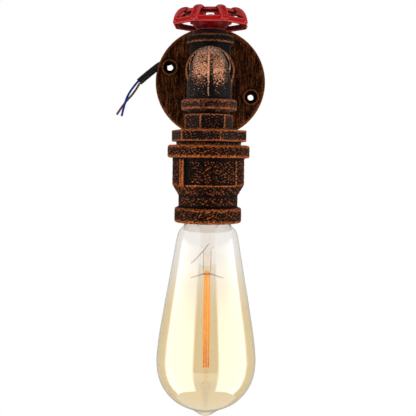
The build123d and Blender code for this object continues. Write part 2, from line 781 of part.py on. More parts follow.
# Lampholder: screwed cap, outer sleeve, contact block, screw shell and centre contact
with BuildPart() as holder_cap:
    with BuildSketch(level(holder_cap_bottom, stack_depth)):
        Circle(holder_cap_r)
    extrude(amount=holder_top - holder_cap_bottom)
    fillet(holder_cap.edges().group_by(Axis.Z)[-1], holder_edge)
    with BuildSketch(level(holder_cap_bottom, stack_depth)):
        Circle(holder_body_r + fit_gap)
    extrude(amount=holder_top - holder_roof - holder_cap_bottom, mode=Mode.SUBTRACT)
    with BuildSketch(level(holder_top - holder_roof, stack_depth)):
        Circle(tube_r + fit_gap)
    extrude(amount=holder_roof, mode=Mode.SUBTRACT)
hand_over(holder_cap, "holder_cap")
block_bottom = block_top - block_t
with BuildPart() as holder_body:
    with BuildSketch(level(holder_body_bottom, stack_depth)):
        Circle(holder_body_r)
        Circle(holder_body_in, mode=Mode.SUBTRACT)
    extrude(amount=block_bottom - fit_gap - holder_body_bottom)
hand_over(holder_body, "holder_body")
leg_slot = contact_leg_w + 2 * contact_gap
with BuildPart() as contact_block:
    with BuildSketch(level(block_bottom, stack_depth)):
        Circle(holder_body_r)
        with Locations((-terminal_x, 0), (terminal_x, 0)):
            Rectangle(leg_slot, leg_slot, mode=Mode.SUBTRACT)
    extrude(amount=block_t)
hand_over(contact_block, "contact_block")
strip_top = block_bottom - contact_gap


def terminal(side):
    """Brass terminal above the block with its leg, wire hole and screw hole."""
    with BuildPart() as post:
        with BuildSketch(level(block_top + contact_gap, stack_depth)):
            with Locations((side * terminal_x, 0)):
                Rectangle(terminal_w, terminal_d)
        extrude(amount=terminal_h)
        with BuildSketch(level(strip_top, stack_depth)):
            with Locations((side * terminal_x, 0)):
                Rectangle(contact_leg_w, contact_leg_w)
        extrude(amount=block_t + 2 * contact_gap)
        with BuildSketch(level(block_top + contact_gap, stack_depth)):
            with Locations((side * (terminal_x + terminal_screw_out), 0)):
                Circle(terminal_screw_r + fit_gap)
        extrude(amount=terminal_h, mode=Mode.SUBTRACT)
        wire_end = Vector(side * wire_aside[-1], -stack_depth, wire_route[-1][2])
        wire_in = Vector(side * wire_aside[-2], -stack_depth, wire_route[-2][2])
        with BuildSketch(Plane(origin=wire_end, z_dir=wire_in - wire_end)):
            Circle(core_r + contact_gap)
        extrude(amount=terminal_w, mode=Mode.SUBTRACT)
    return post.part


with BuildPart() as centre_contact:
    add(terminal(-1))
    with BuildSketch(stack_plane.offset(-contact_w / 2)):
        with BuildLine():
            Polyline(
                (-terminal_x - contact_leg_w / 2, strip_top), (-tongue_bend, strip_top),
                (-tongue_low, strip_top - tongue_dip), (tongue_low, strip_top - tongue_dip),
                (tongue_low, strip_top - tongue_dip - contact_t),
                (-tongue_low - contact_t, strip_top - tongue_dip - contact_t),
                (-tongue_bend - contact_t, strip_top - contact_t),
                (-terminal_x - contact_leg_w / 2, strip_top - contact_t), close=True,
            )
        make_face()
    extrude(amount=contact_w)
hand_over(centre_contact, "centre_contact")
with BuildPart() as screw_shell:
    add(terminal(1))
    with BuildSketch(level(shell_bottom, stack_depth)):
        Circle(shell_out)
        Circle(shell_in, mode=Mode.SUBTRACT)
    extrude(amount=strip_top - shell_bottom)
    with BuildSketch(level(strip_top - contact_t, stack_depth)):
        with Locations(((terminal_x - contact_leg_w / 2 + shell_in) / 2, 0)):
            Rectangle(shell_in - terminal_x + contact_leg_w / 2, contact_w)
    extrude(amount=contact_t)
hand_over(screw_shell, "screw_shell")
with BuildPart() as terminal_screws:
    for side in (-1, 1):
        with BuildSketch(level(block_top + contact_gap, stack_depth)):
            with Locations((side * (terminal_x + terminal_screw_out), 0)):
                Circle(terminal_screw_r)
        extrude(amount=terminal_h)
        with BuildSketch(level(block_top + contact_gap + terminal_h, stack_depth)):
            with Locations((side * (terminal_x + terminal_screw_out), 0)):
                Circle(terminal_head_r)
        extrude(amount=terminal_head_h)
hand_over(terminal_screws, "terminal_screws")

# Bulb: cap, insulator, button, glass, stem with its rod, filaments and their wires
with BuildPart() as bulb_cap:
    with BuildSketch(stack_plane):
        with BuildLine():
            Polyline(
                (bulb_insulator_r, bulb_cap_top), (bulb_cap_r, bulb_cap_top - bulb_cap_bevel),
                (bulb_cap_r, bulb_cap_bottom), (bulb_cap_r - bulb_cap_wall, bulb_cap_bottom),
                (bulb_cap_r - bulb_cap_wall, bulb_cap_top - bulb_cap_bevel - bulb_cap_wall),
                (bulb_insulator_r, bulb_cap_top - bulb_cap_wall), close=True,
            )
        make_face()
    revolve(axis=stack_axis)
hand_over(bulb_cap, "bulb_cap")
button_base = bulb_tip - bulb_button_h
with BuildPart() as bulb_insulator:
    with BuildSketch(stack_plane):
        with BuildLine():
            Polyline(
                (0, button_base), (bulb_button_r, button_base), (bulb_insulator_r, bulb_cap_top),
                (bulb_insulator_r, bulb_cap_top - insulator_skirt),
                (0, bulb_cap_top - insulator_skirt), close=True,
            )
        make_face()
    revolve(axis=stack_axis)
hand_over(bulb_insulator, "bulb_insulator")
with BuildPart() as bulb_contact:
    with BuildSketch(level(button_base, stack_depth)):
        Circle(bulb_button_r)
    extrude(amount=bulb_button_h)
    fillet(bulb_contact.edges().group_by(Axis.Z)[-1], button_edge)
hand_over(bulb_contact, "bulb_contact")
glass_outer = [(glass_neck_r, glass_neck_z), *glass_line, *glass_nipple]
glass_inner = inset_line([(glass_neck_r, glass_neck_top), *glass_outer], glass_wall)[:-1]
with BuildPart() as bulb_glass:
    with BuildSketch(stack_plane):
        with BuildLine():
            outer_wall = Spline(*glass_outer, tangents=((0, -1), (-1, 0)))
            outer_neck = Line((glass_neck_r, glass_neck_top), (glass_neck_r, glass_neck_z))
            inner_tip = (0, glass_nipple[-1][1] + glass_tip_wall)
            inner_wall = Spline(*glass_inner, inner_tip, tangents=((0, -1), (-1, 0)))
            inner_neck = Line((glass_neck_r - glass_wall, glass_neck_top), inner_wall @ 0)
            Line(outer_neck @ 0, inner_neck @ 0)
            Line(outer_wall @ 1, inner_wall @ 1)
        make_face()
    revolve(axis=stack_axis)
hand_over(bulb_glass, "bulb_glass")
with BuildPart() as bulb_stem:
    with BuildSketch(stack_plane):
        with BuildLine():
            Polyline(
                (0, stem_flare_top), (stem_flare_r, stem_flare_top),
                (stem_neck_r, stem_neck_z), (stem_neck_r, stem_pinch_z),
                (rod_r, stem_pinch_z - rod_r), (rod_r, filament_top + rod_r),
                (rod_waist_r, filament_top), (rod_waist_r, filament_bottom),
                (rod_r, filament_bottom - rod_r), (rod_r, rod_bottom + rod_foot_h),
                (rod_foot_r, rod_bottom + rod_foot_h), (rod_foot_r, rod_bottom),
                (0, rod_bottom), close=True,
            )
        make_face()
    revolve(axis=stack_axis)
hand_over(bulb_stem, "bulb_stem")
with BuildPart() as bulb_filaments:
    with BuildSketch(level(filament_bottom, stack_depth)):
        with PolarLocations(filament_ring_r, filament_count, 180 / filament_count):
            Circle(filament_r)
    extrude(amount=filament_top - filament_bottom)
hand_over(bulb_filaments, "bulb_filaments")

# Bow that steadies the filaments' upper ends, and the wires that feed them
with BuildPart() as bulb_support:
    with BuildSketch(level(support_z, stack_depth)):
        Circle(support_eye_r)
        Circle(filament_ring_r + filament_r + contact_gap, mode=Mode.SUBTRACT)
    extrude(amount=support_eye_h)
    for side in (-1, 1):
        with BuildLine():
            bow = Spline(
                (side * support_eye_in, -stack_depth, support_z + support_eye_h / 2),
                (side * support_span / 2, -stack_depth, support_z - support_droop / 4),
                (side * support_span, -stack_depth, support_z - support_droop),
            )
        with BuildSketch(Plane(origin=bow @ 0, z_dir=bow % 0)):
            Circle(support_r)
        sweep(path=bow)
hand_over(bulb_support, "bulb_support")
with BuildPart() as bulb_feed_wires:
    for side in (-1, 1):
        with BuildSketch(level(filament_top + contact_gap, stack_depth)):
            with Locations((side * feed_x, 0)):
                Circle(feed_r)
        extrude(amount=stem_pinch_z - rod_r - filament_top - 2 * contact_gap)
hand_over(bulb_feed_wires, "bulb_feed_wires")
with BuildPart() as bulb_tie_wire:
    with BuildLine():
        tie = Spline(*[(x, -stack_depth + tie_front, z) for x, z in tie_line])
    with BuildSketch(Plane(origin=tie @ 0, z_dir=tie % 0)):
        Circle(support_r)
    sweep(path=tie)
hand_over(bulb_tie_wire, "bulb_tie_wire")
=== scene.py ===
import math

import bmesh
import bpy
import numpy as np
from mathutils import Matrix, Vector


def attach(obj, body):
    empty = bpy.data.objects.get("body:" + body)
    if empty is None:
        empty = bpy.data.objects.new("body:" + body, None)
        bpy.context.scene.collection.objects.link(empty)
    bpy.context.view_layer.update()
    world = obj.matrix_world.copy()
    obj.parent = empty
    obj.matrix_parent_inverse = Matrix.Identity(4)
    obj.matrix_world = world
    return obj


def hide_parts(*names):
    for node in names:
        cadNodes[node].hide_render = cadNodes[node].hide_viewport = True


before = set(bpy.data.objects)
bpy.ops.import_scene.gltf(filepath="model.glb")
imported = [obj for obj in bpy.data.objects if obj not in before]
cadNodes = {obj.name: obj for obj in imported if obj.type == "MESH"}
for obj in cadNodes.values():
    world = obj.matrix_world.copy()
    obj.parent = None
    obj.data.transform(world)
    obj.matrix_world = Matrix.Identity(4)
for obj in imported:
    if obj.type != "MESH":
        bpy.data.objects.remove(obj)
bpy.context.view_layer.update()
mm = 0.001
stackDepth = 162.0  # wall to the bulb's axis, in mm
teeDepth = 68.0  # wall to the handwheel's axis, in mm

# Camera: square to the wall, turned a little about its own line of sight
cameraSetup = {"place": (0.0027, -0.680, -0.0652), "lens": 69.2, "sensorWidth": 36.0, "nearest": 0.01,
               "shiftX": -0.0111, "shiftY": -48 / 416, "rollDeg": 0.70}
eye = bpy.data.objects.new("eye", bpy.data.cameras.new("eye"))
eye.data.lens = cameraSetup["lens"]
eye.data.sensor_width = cameraSetup["sensorWidth"]
eye.data.shift_x = cameraSetup["shiftX"]
eye.data.shift_y = cameraSetup["shiftY"]
eye.data.clip_start = cameraSetup["nearest"]
eye.matrix_world = (
    Matrix.Translation(cameraSetup["place"])
    @ Matrix.Rotation(math.radians(90), 4, "X")
    @ Matrix.Rotation(math.radians(cameraSetup["rollDeg"]), 4, "Z")
)
bpy.context.collection.objects.link(eye)
bpy.context.scene.camera = eye
bpy.context.scene.view_settings.view_transform = "Standard"


# Small tools for node trees: a value or another node's output goes into a socket
def plug(tree, value, socket):
    if isinstance(value, bpy.types.NodeSocket):
        tree.links.new(value, socket)
    elif isinstance(value, (tuple, list)) and socket.type == "RGBA" and len(value) == 3:
        socket.default_value = (*value, 1.0)
    else:
        socket.default_value = value


def addNode(tree, kind, feeds=None, **settings):
    node = tree.nodes.new(kind)
    for key, value in settings.items():
        setattr(node, key, value)
    for key, value in (feeds or {}).items():
        plug(tree, value, node.inputs[key])
    return node


def maths(tree, operation, first, second=0.0, third=0.0):
    return addNode(tree, "ShaderNodeMath", {0: first, 1: second, 2: third}, operation=operation).outputs[0]


def weighted(tree, *pairs):
    total = 0.0
    for value, share in pairs:
        total = maths(tree, "MULTIPLY_ADD", value, share, total)
    return total


def blendColours(tree, share, first, second):
    return addNode(tree, "ShaderNodeMix", {0: share, 6: first, 7: second}, data_type="RGBA").outputs[2]


def stepUp(tree, value, low, high):
    return addNode(tree, "ShaderNodeMapRange", {"Value": value, "From Min": low, "From Max": high},
                   interpolation_type="SMOOTHSTEP").outputs[0]


def freshMaterial(name):
    material = bpy.data.materials.new(name)
    material.use_nodes = True
    tree = material.node_tree
    tree.nodes.clear()
    out = tree.nodes.new("ShaderNodeOutputMaterial")
    shader = tree.nodes.new("ShaderNodeBsdfPrincipled")
    tree.links.new(shader.outputs[0], out.inputs[0])
    return material, tree, shader, out


def objectPlace(tree, scale=(1, 1, 1)):
    place = addNode(tree, "ShaderNodeTexCoord")
    return addNode(tree, "ShaderNodeMapping", {"Vector": place.outputs["Object"], "Scale": scale}).outputs[0]


def heightOf(tree):
    place = addNode(tree, "ShaderNodeTexCoord").outputs["Object"]
    return addNode(tree, "ShaderNodeSeparateXYZ", {0: place}).outputs[2]


def noise(tree, place, scale, detail=3.0, rough=0.6, twist=0.0):
    feeds = {"Vector": place, "Scale": scale, "Detail": detail, "Roughness": rough, "Distortion": twist}
    return addNode(tree, "ShaderNodeTexNoise", feeds).outputs[0]


def attribute(tree, name):
    return addNode(tree, "ShaderNodeAttribute", attribute_name=name).outputs["Fac"]


def varyRoughness(tree, shader, pattern, middle, spread):
    plug(tree, maths(tree, "MULTIPLY_ADD", pattern, spread, middle - spread / 2), shader.inputs["Roughness"])


def addBump(tree, shader, height, strength, distance):
    bump = addNode(tree, "ShaderNodeBump", {"Strength": strength, "Distance": distance, "Height": height})
    plug(tree, bump.outputs[0], shader.inputs["Normal"])


# Cast iron painted black and dry-brushed with copper: the brush catches grain tops and edges
castLooks = {
    "flange": {"dark": (0.0018, 0.0009, 0.0005), "brown": (0.012, 0.0038, 0.0015),
               "copper": (0.145, 0.040, 0.0115), "level": 0.67, "soft": 0.09, "edge": 0.26, "streaks": 1.0,
               "rough": 0.62, "shine": 0.012},
    "tee": {"dark": (0.0012, 0.0012, 0.0013), "brown": (0.006, 0.0038, 0.0028),
            "copper": (0.320, 0.104, 0.040), "level": 0.74, "soft": 0.06, "edge": 0.34, "streaks": 0.0,
            "rough": 0.50, "shine": 0.03},
    "elbow": {"dark": (0.0012, 0.0011, 0.0011), "brown": (0.007, 0.0042, 0.0030),
              "copper": (0.980, 0.440, 0.240), "warm": (0.400, 0.104, 0.032), "warmBelow": -0.0262,
              "warmFade": 0.0006, "level": 0.695, "soft": 0.075, "edge": 0.24, "streaks": 0.0,
              "rough": 0.44, "shine": 0.05},
    "hex": {"dark": (0.0012, 0.0009, 0.0008), "brown": (0.007, 0.0032, 0.0020),
            "copper": (0.400, 0.106, 0.031), "level": 0.72, "soft": 0.06, "edge": 0.48, "streaks": 0.0,
            "rough": 0.46, "shine": 0.04},
    "socket": {"dark": (0.0012, 0.0008, 0.0006), "brown": (0.008, 0.0033, 0.0018),
               "copper": (0.420, 0.110, 0.030), "level": 0.70, "soft": 0.06, "edge": 0.32, "streaks": 0.0,
               "rough": 0.50, "shine": 0.02},
}
# What all castings share. A noise is (scale, detail, roughness, twist)
castGrain = {
    "grain": (1900.0, 3.0, 0.62), "patch": (150.0, 3.0, 0.6, 0.8), "streak": (1000.0, 3.0, 0.6),
    "streakSquash": (1.0, 1.0, 0.10), "pitScale": 1100.0,
    "topPits": -0.22, "topPatch": 0.34, "topLines": 0.8, "topBrush": 0.45,
    "stain": (420.0, 3.0, 0.7), "stainLines": 0.6, "stainBrush": 0.3, "stainFade": (0.44, 0.64),
    "shade": (700.0, 3.0, 0.7), "shadeFade": (0.36, 0.62), "shadeDepth": 0.62,
    "metal": 0.25, "roughSpread": 0.24,
    "bumpPatch": 0.5, "bumpLines": 0.4, "bumpPits": -0.3, "bumpStrength": 0.6, "bumpHeight": 0.0003,
}


def castMaterial(name, look):
    material, tree, shader, out = freshMaterial(name)
    mix = castGrain
    place = objectPlace(tree)
    relief, brushAndShade = attribute(tree, "relief"), attribute(tree, "brushAndShade")
    grain = noise(tree, place, *mix["grain"])
    pits = addNode(tree, "ShaderNodeTexVoronoi", {"Vector": place, "Scale": mix["pitScale"]}).outputs[0]
    patch = noise(tree, place, *mix["patch"])
    streak = noise(tree, objectPlace(tree, mix["streakSquash"]), *mix["streak"])
    lines = maths(tree, "MULTIPLY", maths(tree, "SUBTRACT", streak, 0.5), look["streaks"])
    tops = weighted(tree, (grain, 1.0), (pits, mix["topPits"]), (patch, mix["topPatch"]),
                    (lines, mix["topLines"]), (relief, look["edge"]), (brushAndShade, mix["topBrush"]))
    copperShare = stepUp(tree, tops, look["level"] - look["soft"], look["level"] + look["soft"])
    stained = weighted(tree, (noise(tree, place, *mix["stain"]), 1.0), (lines, mix["stainLines"]),
                       (brushAndShade, mix["stainBrush"]))
    base = blendColours(tree, stepUp(tree, stained, *mix["stainFade"]), look["dark"], look["brown"])
    bright = look["copper"]
    if "warm" in look:
        warmEnd = look["warmBelow"]
        lift = stepUp(tree, heightOf(tree), warmEnd - look["warmFade"], warmEnd)
        bright = blendColours(tree, lift, look["warm"], bright)
    shaded = blendColours(tree, mix["shadeDepth"], bright, (0.0, 0.0, 0.0))
    lit = stepUp(tree, noise(tree, place, *mix["shade"]), *mix["shadeFade"])
    copper = blendColours(tree, lit, shaded, bright)
    plug(tree, blendColours(tree, copperShare, base, copper), shader.inputs["Base Color"])
    plug(tree, maths(tree, "MULTIPLY", copperShare, mix["metal"]), shader.inputs["Metallic"])
    varyRoughness(tree, shader, grain, look["rough"], mix["roughSpread"])
    shader.inputs["Specular IOR Level"].default_value = look["shine"]
    height = weighted(tree, (grain, 1.0), (patch, mix["bumpPatch"]), (lines, mix["bumpLines"]),
                      (pits, mix["bumpPits"]))
    addBump(tree, shader, height, mix["bumpStrength"], mix["bumpHeight"])
    return material


# Wheel paint: crimson gloss, paler on ridges and in cloudy patches as a painted highlight, nearly black as
# painted shade in the corners and wherever little light reaches
wheelLook = {
    "red": (0.44, 0.0070, 0.0065), "deep": (0.034, 0.0008, 0.0009), "pale": (0.72, 0.105, 0.105),
    "cloud": (260.0, 3.0, 0.6), "fine": (1300.0, 2.0, 0.6), "rough": 0.28, "roughSpread": 0.2, "shine": 0.05,
    "highlightRelief": 0.55, "highlightCloud": 0.5, "highlightFine": 0.2, "highlightFade": (0.40, 0.80), "highlightShare": 0.60,
    "lightReachCloud": 0.3, "lightReachRelief": 0.7, "lightReachFade": (0.30, 1.25),
    "bumpFine": 0.25, "bumpStrength": 0.3, "bumpHeight": 0.0004,
}


def wheelMaterial(look):
    material, tree, shader, out = freshMaterial("wheelPaint")
    place = objectPlace(tree)
    relief, brushAndShade = attribute(tree, "relief"), attribute(tree, "brushAndShade")
    cloud, fine = noise(tree, place, *look["cloud"]), noise(tree, place, *look["fine"])
    # Painted highlight: paler paint on ridges, mixed with random cloudy patches
    highlit = weighted(tree, (relief, look["highlightRelief"]), (cloud, look["highlightCloud"]), (fine, look["highlightFine"]))
    paleShare = maths(tree, "MULTIPLY", stepUp(tree, highlit, *look["highlightFade"]), look["highlightShare"])
    # Painted shade: nearly black where little light reaches, in the corners and hollows
    lightReach = weighted(tree, (brushAndShade, 1.0), (cloud, look["lightReachCloud"]), (relief, look["lightReachRelief"]))
    body = blendColours(tree, stepUp(tree, lightReach, *look["lightReachFade"]), look["deep"], look["red"])
    plug(tree, blendColours(tree, paleShare, body, look["pale"]), shader.inputs["Base Color"])
    varyRoughness(tree, shader, cloud, look["rough"], look["roughSpread"])
    shader.inputs["Specular IOR Level"].default_value = look["shine"]
    height = weighted(tree, (cloud, 1.0), (fine, look["bumpFine"]))
    addBump(tree, shader, height, look["bumpStrength"], look["bumpHeight"])
    return material


# Finishes of what the fittings hide or only half show:
# (dark colour, light colour, metal, roughness, grain scale, shine)
plainLooks = {
    "blackIron": ((0.003, 0.003, 0.0035), (0.013, 0.010, 0.009), 0.2, 0.48, 700.0, 0.03),
    "zincSteel": ((0.42, 0.42, 0.41), (0.60, 0.60, 0.58), 1.0, 0.34, 900.0, 0.5),
    "plainBrass": ((0.50, 0.33, 0.11), (0.74, 0.55, 0.24), 1.0, 0.30, 800.0, 0.5),
    "capMetal": ((0.60, 0.56, 0.46), (0.78, 0.74, 0.62), 1.0, 0.24, 700.0, 0.5),
    "phenolic": ((0.010, 0.010, 0.011), (0.024, 0.022, 0.020), 0.0, 0.42, 500.0, 0.2),
    "whiteCeramic": ((0.72, 0.71, 0.67), (0.84, 0.83, 0.79), 0.0, 0.22, 420.0, 0.5),
    "blackGlass": ((0.008, 0.008, 0.012), (0.020, 0.020, 0.026), 0.0, 0.12, 300.0, 0.5),
    "sheathRubber": ((0.0030, 0.0030, 0.0032), (0.012, 0.011, 0.011), 0.0, 0.46, 1100.0, 0.08),
    "blueRubber": ((0.002, 0.010, 0.150), (0.004, 0.026, 0.300), 0.0, 0.38, 1300.0, 0.12),
    "brownRubber": ((0.085, 0.026, 0.018), (0.190, 0.070, 0.045), 0.0, 0.38, 1300.0, 0.2),
    "wireGrey": ((0.30, 0.22, 0.15), (0.46, 0.36, 0.26), 0.2, 0.40, 1500.0, 0.4),
    "wirePale": ((0.60, 0.47, 0.22), (0.76, 0.62, 0.34), 0.2, 0.40, 1500.0, 0.4),
}


# What the plain finishes share
plainGrain = {"fine": (4.0, 0.62), "broad": (2.0, 0.5), "broadScale": 0.17, "fineShare": 0.6,
              "broadShare": 0.4, "fade": (0.34, 0.66), "roughSpread": 0.18, "bumpStrength": 0.3,
              "bumpHeight": 0.00012}


def plainMaterial(name, low, high, metal, rough, grainScale, shine):
    material, tree, shader, out = freshMaterial(name)
    mix = plainGrain
    place = objectPlace(tree)
    fine = noise(tree, place, grainScale, *mix["fine"])
    broad = noise(tree, place, grainScale * mix["broadScale"], *mix["broad"])
    both = weighted(tree, (fine, mix["fineShare"]), (broad, mix["broadShare"]))
    plug(tree, blendColours(tree, stepUp(tree, both, *mix["fade"]), low, high), shader.inputs["Base Color"])
    shader.inputs["Metallic"].default_value = metal
    shader.inputs["Specular IOR Level"].default_value = shine
    varyRoughness(tree, shader, fine, rough, mix["roughSpread"])
    addBump(tree, shader, fine, mix["bumpStrength"], mix["bumpHeight"])
    return material


# Bulb glass: amber coat that fades towards the neck. Light passes through it to the pieces inside
glassLook = {"amber": (0.885, 0.775, 0.565), "clear": (0.93, 0.91, 0.88), "cloud": (60.0, 2.0, 0.5),
             "fadeWaves": 0.012, "fade": (-0.165, -0.112), "ior": 1.85, "rough": 0.015, "roughSpread": 0.01}
stemLook = {**glassLook, "amber": (0.97, 0.95, 0.88), "ior": 1.06}


def glassMaterial(name, look):
    material, tree, shader, out = freshMaterial(name)
    cloud = noise(tree, objectPlace(tree), *look["cloud"])
    height = maths(tree, "MULTIPLY_ADD", cloud, look["fadeWaves"], heightOf(tree))
    tint = blendColours(tree, stepUp(tree, height, *look["fade"]), look["amber"], look["clear"])
    plug(tree, tint, shader.inputs["Base Color"])
    shader.inputs["Transmission Weight"].default_value = 1.0
    shader.inputs["IOR"].default_value = look["ior"]
    varyRoughness(tree, shader, cloud, look["rough"], look["roughSpread"])
    seeThrough = addNode(tree, "ShaderNodeBsdfTransparent", {"Color": tint})
    path = addNode(tree, "ShaderNodeLightPath")
    pick = addNode(tree, "ShaderNodeMixShader", {0: path.outputs["Is Shadow Ray"], 1: shader.outputs[0],
                                                 2: seeThrough.outputs[0]})
    plug(tree, pick.outputs[0], out.inputs[0])
    return material


# Filament coat: deeper orange towards its lower end
filamentLook = {
    "core": (0.98, 0.38, 0.00), "edge": (0.96, 0.52, 0.07), "deep": (0.72, 0.17, 0.00), "glow": 0.42,
    "cloud": (900.0, 3.0, 0.6), "fadeWaves": 0.004, "fade": (-0.196, -0.168), "edgeFade": (0.4, 0.7),
    "rough": 0.5, "roughSpread": 0.2, "shine": 0.05,
}


def filamentMaterial(look):
    material, tree, shader, out = freshMaterial("filamentCoat")
    cloud = noise(tree, objectPlace(tree), *look["cloud"])
    height = maths(tree, "MULTIPLY_ADD", cloud, look["fadeWaves"], heightOf(tree))
    body = blendColours(tree, stepUp(tree, height, *look["fade"]), look["deep"], look["core"])
    colour = blendColours(tree, stepUp(tree, cloud, *look["edgeFade"]), body, look["edge"])
    plug(tree, colour, shader.inputs["Base Color"])
    plug(tree, colour, shader.inputs["Emission Color"])
    shader.inputs["Emission Strength"].default_value = look["glow"]
    shader.inputs["Specular IOR Level"].default_value = look["shine"]
    varyRoughness(tree, shader, cloud, look["rough"], look["roughSpread"])
    return material


materials = {name: plainMaterial(name, *look) for name, look in plainLooks.items()}
materials["wheelPaint"] = wheelMaterial(wheelLook)
materials["amberGlass"] = glassMaterial("amberGlass", glassLook)
materials["clearGlass"] = glassMaterial("clearGlass", stemLook)
materials["filamentCoat"] = filamentMaterial(filamentLook)
for lookName, look in castLooks.items():
    materials["cast_" + lookName] = castMaterial("cast_" + lookName, look)
print("materials are mixed")


def showPiece(name, data):
    piece = bpy.data.objects.new(name, data)
    bpy.context.collection.objects.link(piece)
    return piece


def meshOf(name, points, faces):
    mesh = bpy.data.meshes.new(name)
    mesh.from_pydata(points, [], faces)
    return showPiece(name, mesh)


def finishPiece(piece, material, body, slot, *nodes):
    piece.data.materials.clear()
    piece.data.materials.append(materials[material])
    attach(piece, body)
    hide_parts(*nodes)
    return piece


# Supply lead and its two bare-ended cores, on the routes that the CAD solids follow
leadSizes = {
    "sheath": {"radius": 3.0, "length": 51.9, "finish": "sheathRubber", "node": "lead_sheath",
               "slot": "black_sheath",
               "route": ((-14.5, -3.9, 19.4), (-36.6, -3.9, 19.4), (-53.4, -3.9, 6.2), (-60.2, -3.9, 0.0))},
    "blueCore": {"radius": 0.95, "length": 33.5, "finish": "blueRubber", "node": "lead_core_blue",
                 "slot": "blue_core",
                 "route": ((-60.9, -3.9, 0.8), (-67.0, -5.1, -6.6), (-71.8, -6.6, -17.0),
                           (-74.4, -6.2, -29.2))},
    "brownCore": {"radius": 0.95, "length": 33.4, "finish": "brownRubber", "node": "lead_core_brown",
                  "slot": "brown_core",
                  "route": ((-59.5, -3.9, -0.8), (-64.4, -3.2, -9.4), (-72.6, -3.3, -17.8),
                            (-78.8, -3.8, -27.8))},
}


def makeLead(name, sizes):
    curve = bpy.data.curves.new(name, "CURVE")
    curve.dimensions = "3D"
    curve.resolution_u = 10
    spline = curve.splines.new("NURBS")
    spline.points.add(len(sizes["route"]) - 1)
    for point, place in zip(spline.points, sizes["route"]):
        point.co = (place[0] * mm, place[1] * mm, place[2] * mm, 1)
    spline.order_u = 3
    spline.use_endpoint_u = True
    curve.bevel_depth = sizes["radius"] * mm
    curve.bevel_resolution = 5
    curve.use_fill_caps = True
    piece = finishPiece(showPiece(name, curve), sizes["finish"], "fixture", sizes["slot"], sizes["node"])
    [value * mm for value in sizes["route"][0]]


for leadName, sizes in leadSizes.items():
    makeLead(leadName, sizes)
print("lead is laid")


# Geometry node trees: named inputs, set through a modifier by their sockets' identifiers
def startTree(name, sizes):
    tree = bpy.data.node_groups.new(name, "GeometryNodeTree")
    tree.interface.new_socket("Geometry", in_out="INPUT", socket_type="NodeSocketGeometry")
    for label, (kind, value) in sizes.items():
        socket = tree.interface.new_socket(label, in_out="INPUT", socket_type="NodeSocket" + kind)
        if value is not None:
            socket.default_value = value
    tree.interface.new_socket("Geometry", in_out="OUTPUT", socket_type="NodeSocketGeometry")
    return tree, tree.nodes.new("NodeGroupInput"), tree.nodes.new("NodeGroupOutput")


def closeTree(tree, given, result, geometry):
    real = addNode(tree, "GeometryNodeRealizeInstances", {0: geometry})
    painted = addNode(tree, "GeometryNodeSetMaterial",
                      {0: real.outputs[0], "Material": given.outputs["Finish"]})
    plug(tree, painted.outputs[0], result.inputs[0])


def settle(seed, name):
    deps = bpy.context.evaluated_depsgraph_get()
    deps.update()
    mesh = bpy.data.meshes.new_from_object(seed.evaluated_get(deps), depsgraph=deps)
    bpy.data.objects.remove(seed)
    return showPiece(name, mesh)


def grow(name, tree, values, start=None):
    seed = showPiece(name + "Seed", start or bpy.data.meshes.new(name + "Seed"))
    modifier = seed.modifiers.new("grow", "NODES")
    modifier.node_group = tree
    for item in tree.interface.items_tree:
        if item.in_out == "INPUT" and item.name in values:
            modifier[item.identifier] = values[item.name]
    return settle(seed, name)


# Copies of a mesh in a ring about an upright axis
def arrayTree():
    tree, given, result = startTree("ringArray", {
        "Count": ("Int", 8), "First Angle": ("Float", 0.0), "Axis Place": ("Vector", (0.0, 0.0, 0.0)),
        "Finish": ("Material", None)})
    points = addNode(tree, "GeometryNodeMeshLine",
                     {"Count": given.outputs["Count"], "Offset": (0.0, 0.0, 0.0)})
    index = addNode(tree, "GeometryNodeInputIndex").outputs[0]
    step = maths(tree, "DIVIDE", math.tau, given.outputs["Count"])
    angle = maths(tree, "MULTIPLY_ADD", index, step, given.outputs["First Angle"])
    turn = addNode(tree, "ShaderNodeCombineXYZ", {"Z": angle})
    copies = addNode(tree, "GeometryNodeInstanceOnPoints", {
        "Points": points.outputs[0], "Instance": given.outputs["Geometry"], "Rotation": turn.outputs[0]})
    moved = addNode(tree, "GeometryNodeTransform", {"Geometry": copies.outputs[0],
                                                    "Translation": given.outputs["Axis Place"]})
    closeTree(tree, given, result, moved.outputs[0])
    return tree


# A round wire along each curve that the tree is given
def wireTree():
    tree, given, result = startTree("roundWire", {
        "Radius": ("Float", 0.001), "Sides": ("Int", 16), "Finish": ("Material", None)})
    circle = addNode(tree, "GeometryNodeCurvePrimitiveCircle", {"Resolution": given.outputs["Sides"],
                                                                "Radius": given.outputs["Radius"]})
    swept = addNode(tree, "GeometryNodeCurveToMesh", {"Curve": given.outputs["Geometry"],
                                                      "Profile Curve": circle.outputs[0], "Fill Caps": True})
    smooth = addNode(tree, "GeometryNodeSetShadeSmooth", {0: swept.outputs[0]})
    closeTree(tree, given, result, smooth.outputs[0])
    return tree


# A screw thread: a helix with a rounded ridge swept along it
def threadTree():
    tree, given, result = startTree("screwThread", {
        "Radius": ("Float", 0.012), "Pitch": ("Float", 0.0036), "Turns": ("Float", 5.0),
        "Ridge": ("Float", 0.0008), "Finish": ("Material", None)})
    height = maths(tree, "MULTIPLY", given.outputs["Turns"], given.outputs["Pitch"])
    helix = addNode(tree, "GeometryNodeCurveSpiral", {
        "Resolution": 48, "Rotations": given.outputs["Turns"], "Start Radius": given.outputs["Radius"],
        "End Radius": given.outputs["Radius"], "Height": height})
    ridge = addNode(tree, "GeometryNodeCurvePrimitiveCircle",
                    {"Resolution": 10, "Radius": given.outputs["Ridge"]})
    swept = addNode(tree, "GeometryNodeCurveToMesh", {"Curve": helix.outputs[0],
                                                      "Profile Curve": ridge.outputs[0], "Fill Caps": True})
    smooth = addNode(tree, "GeometryNodeSetShadeSmooth", {0: swept.outputs[0]})
    closeTree(tree, given, result, smooth.outputs[0])
    return tree


ringArray, roundWire, screwThread = arrayTree(), wireTree(), threadTree()


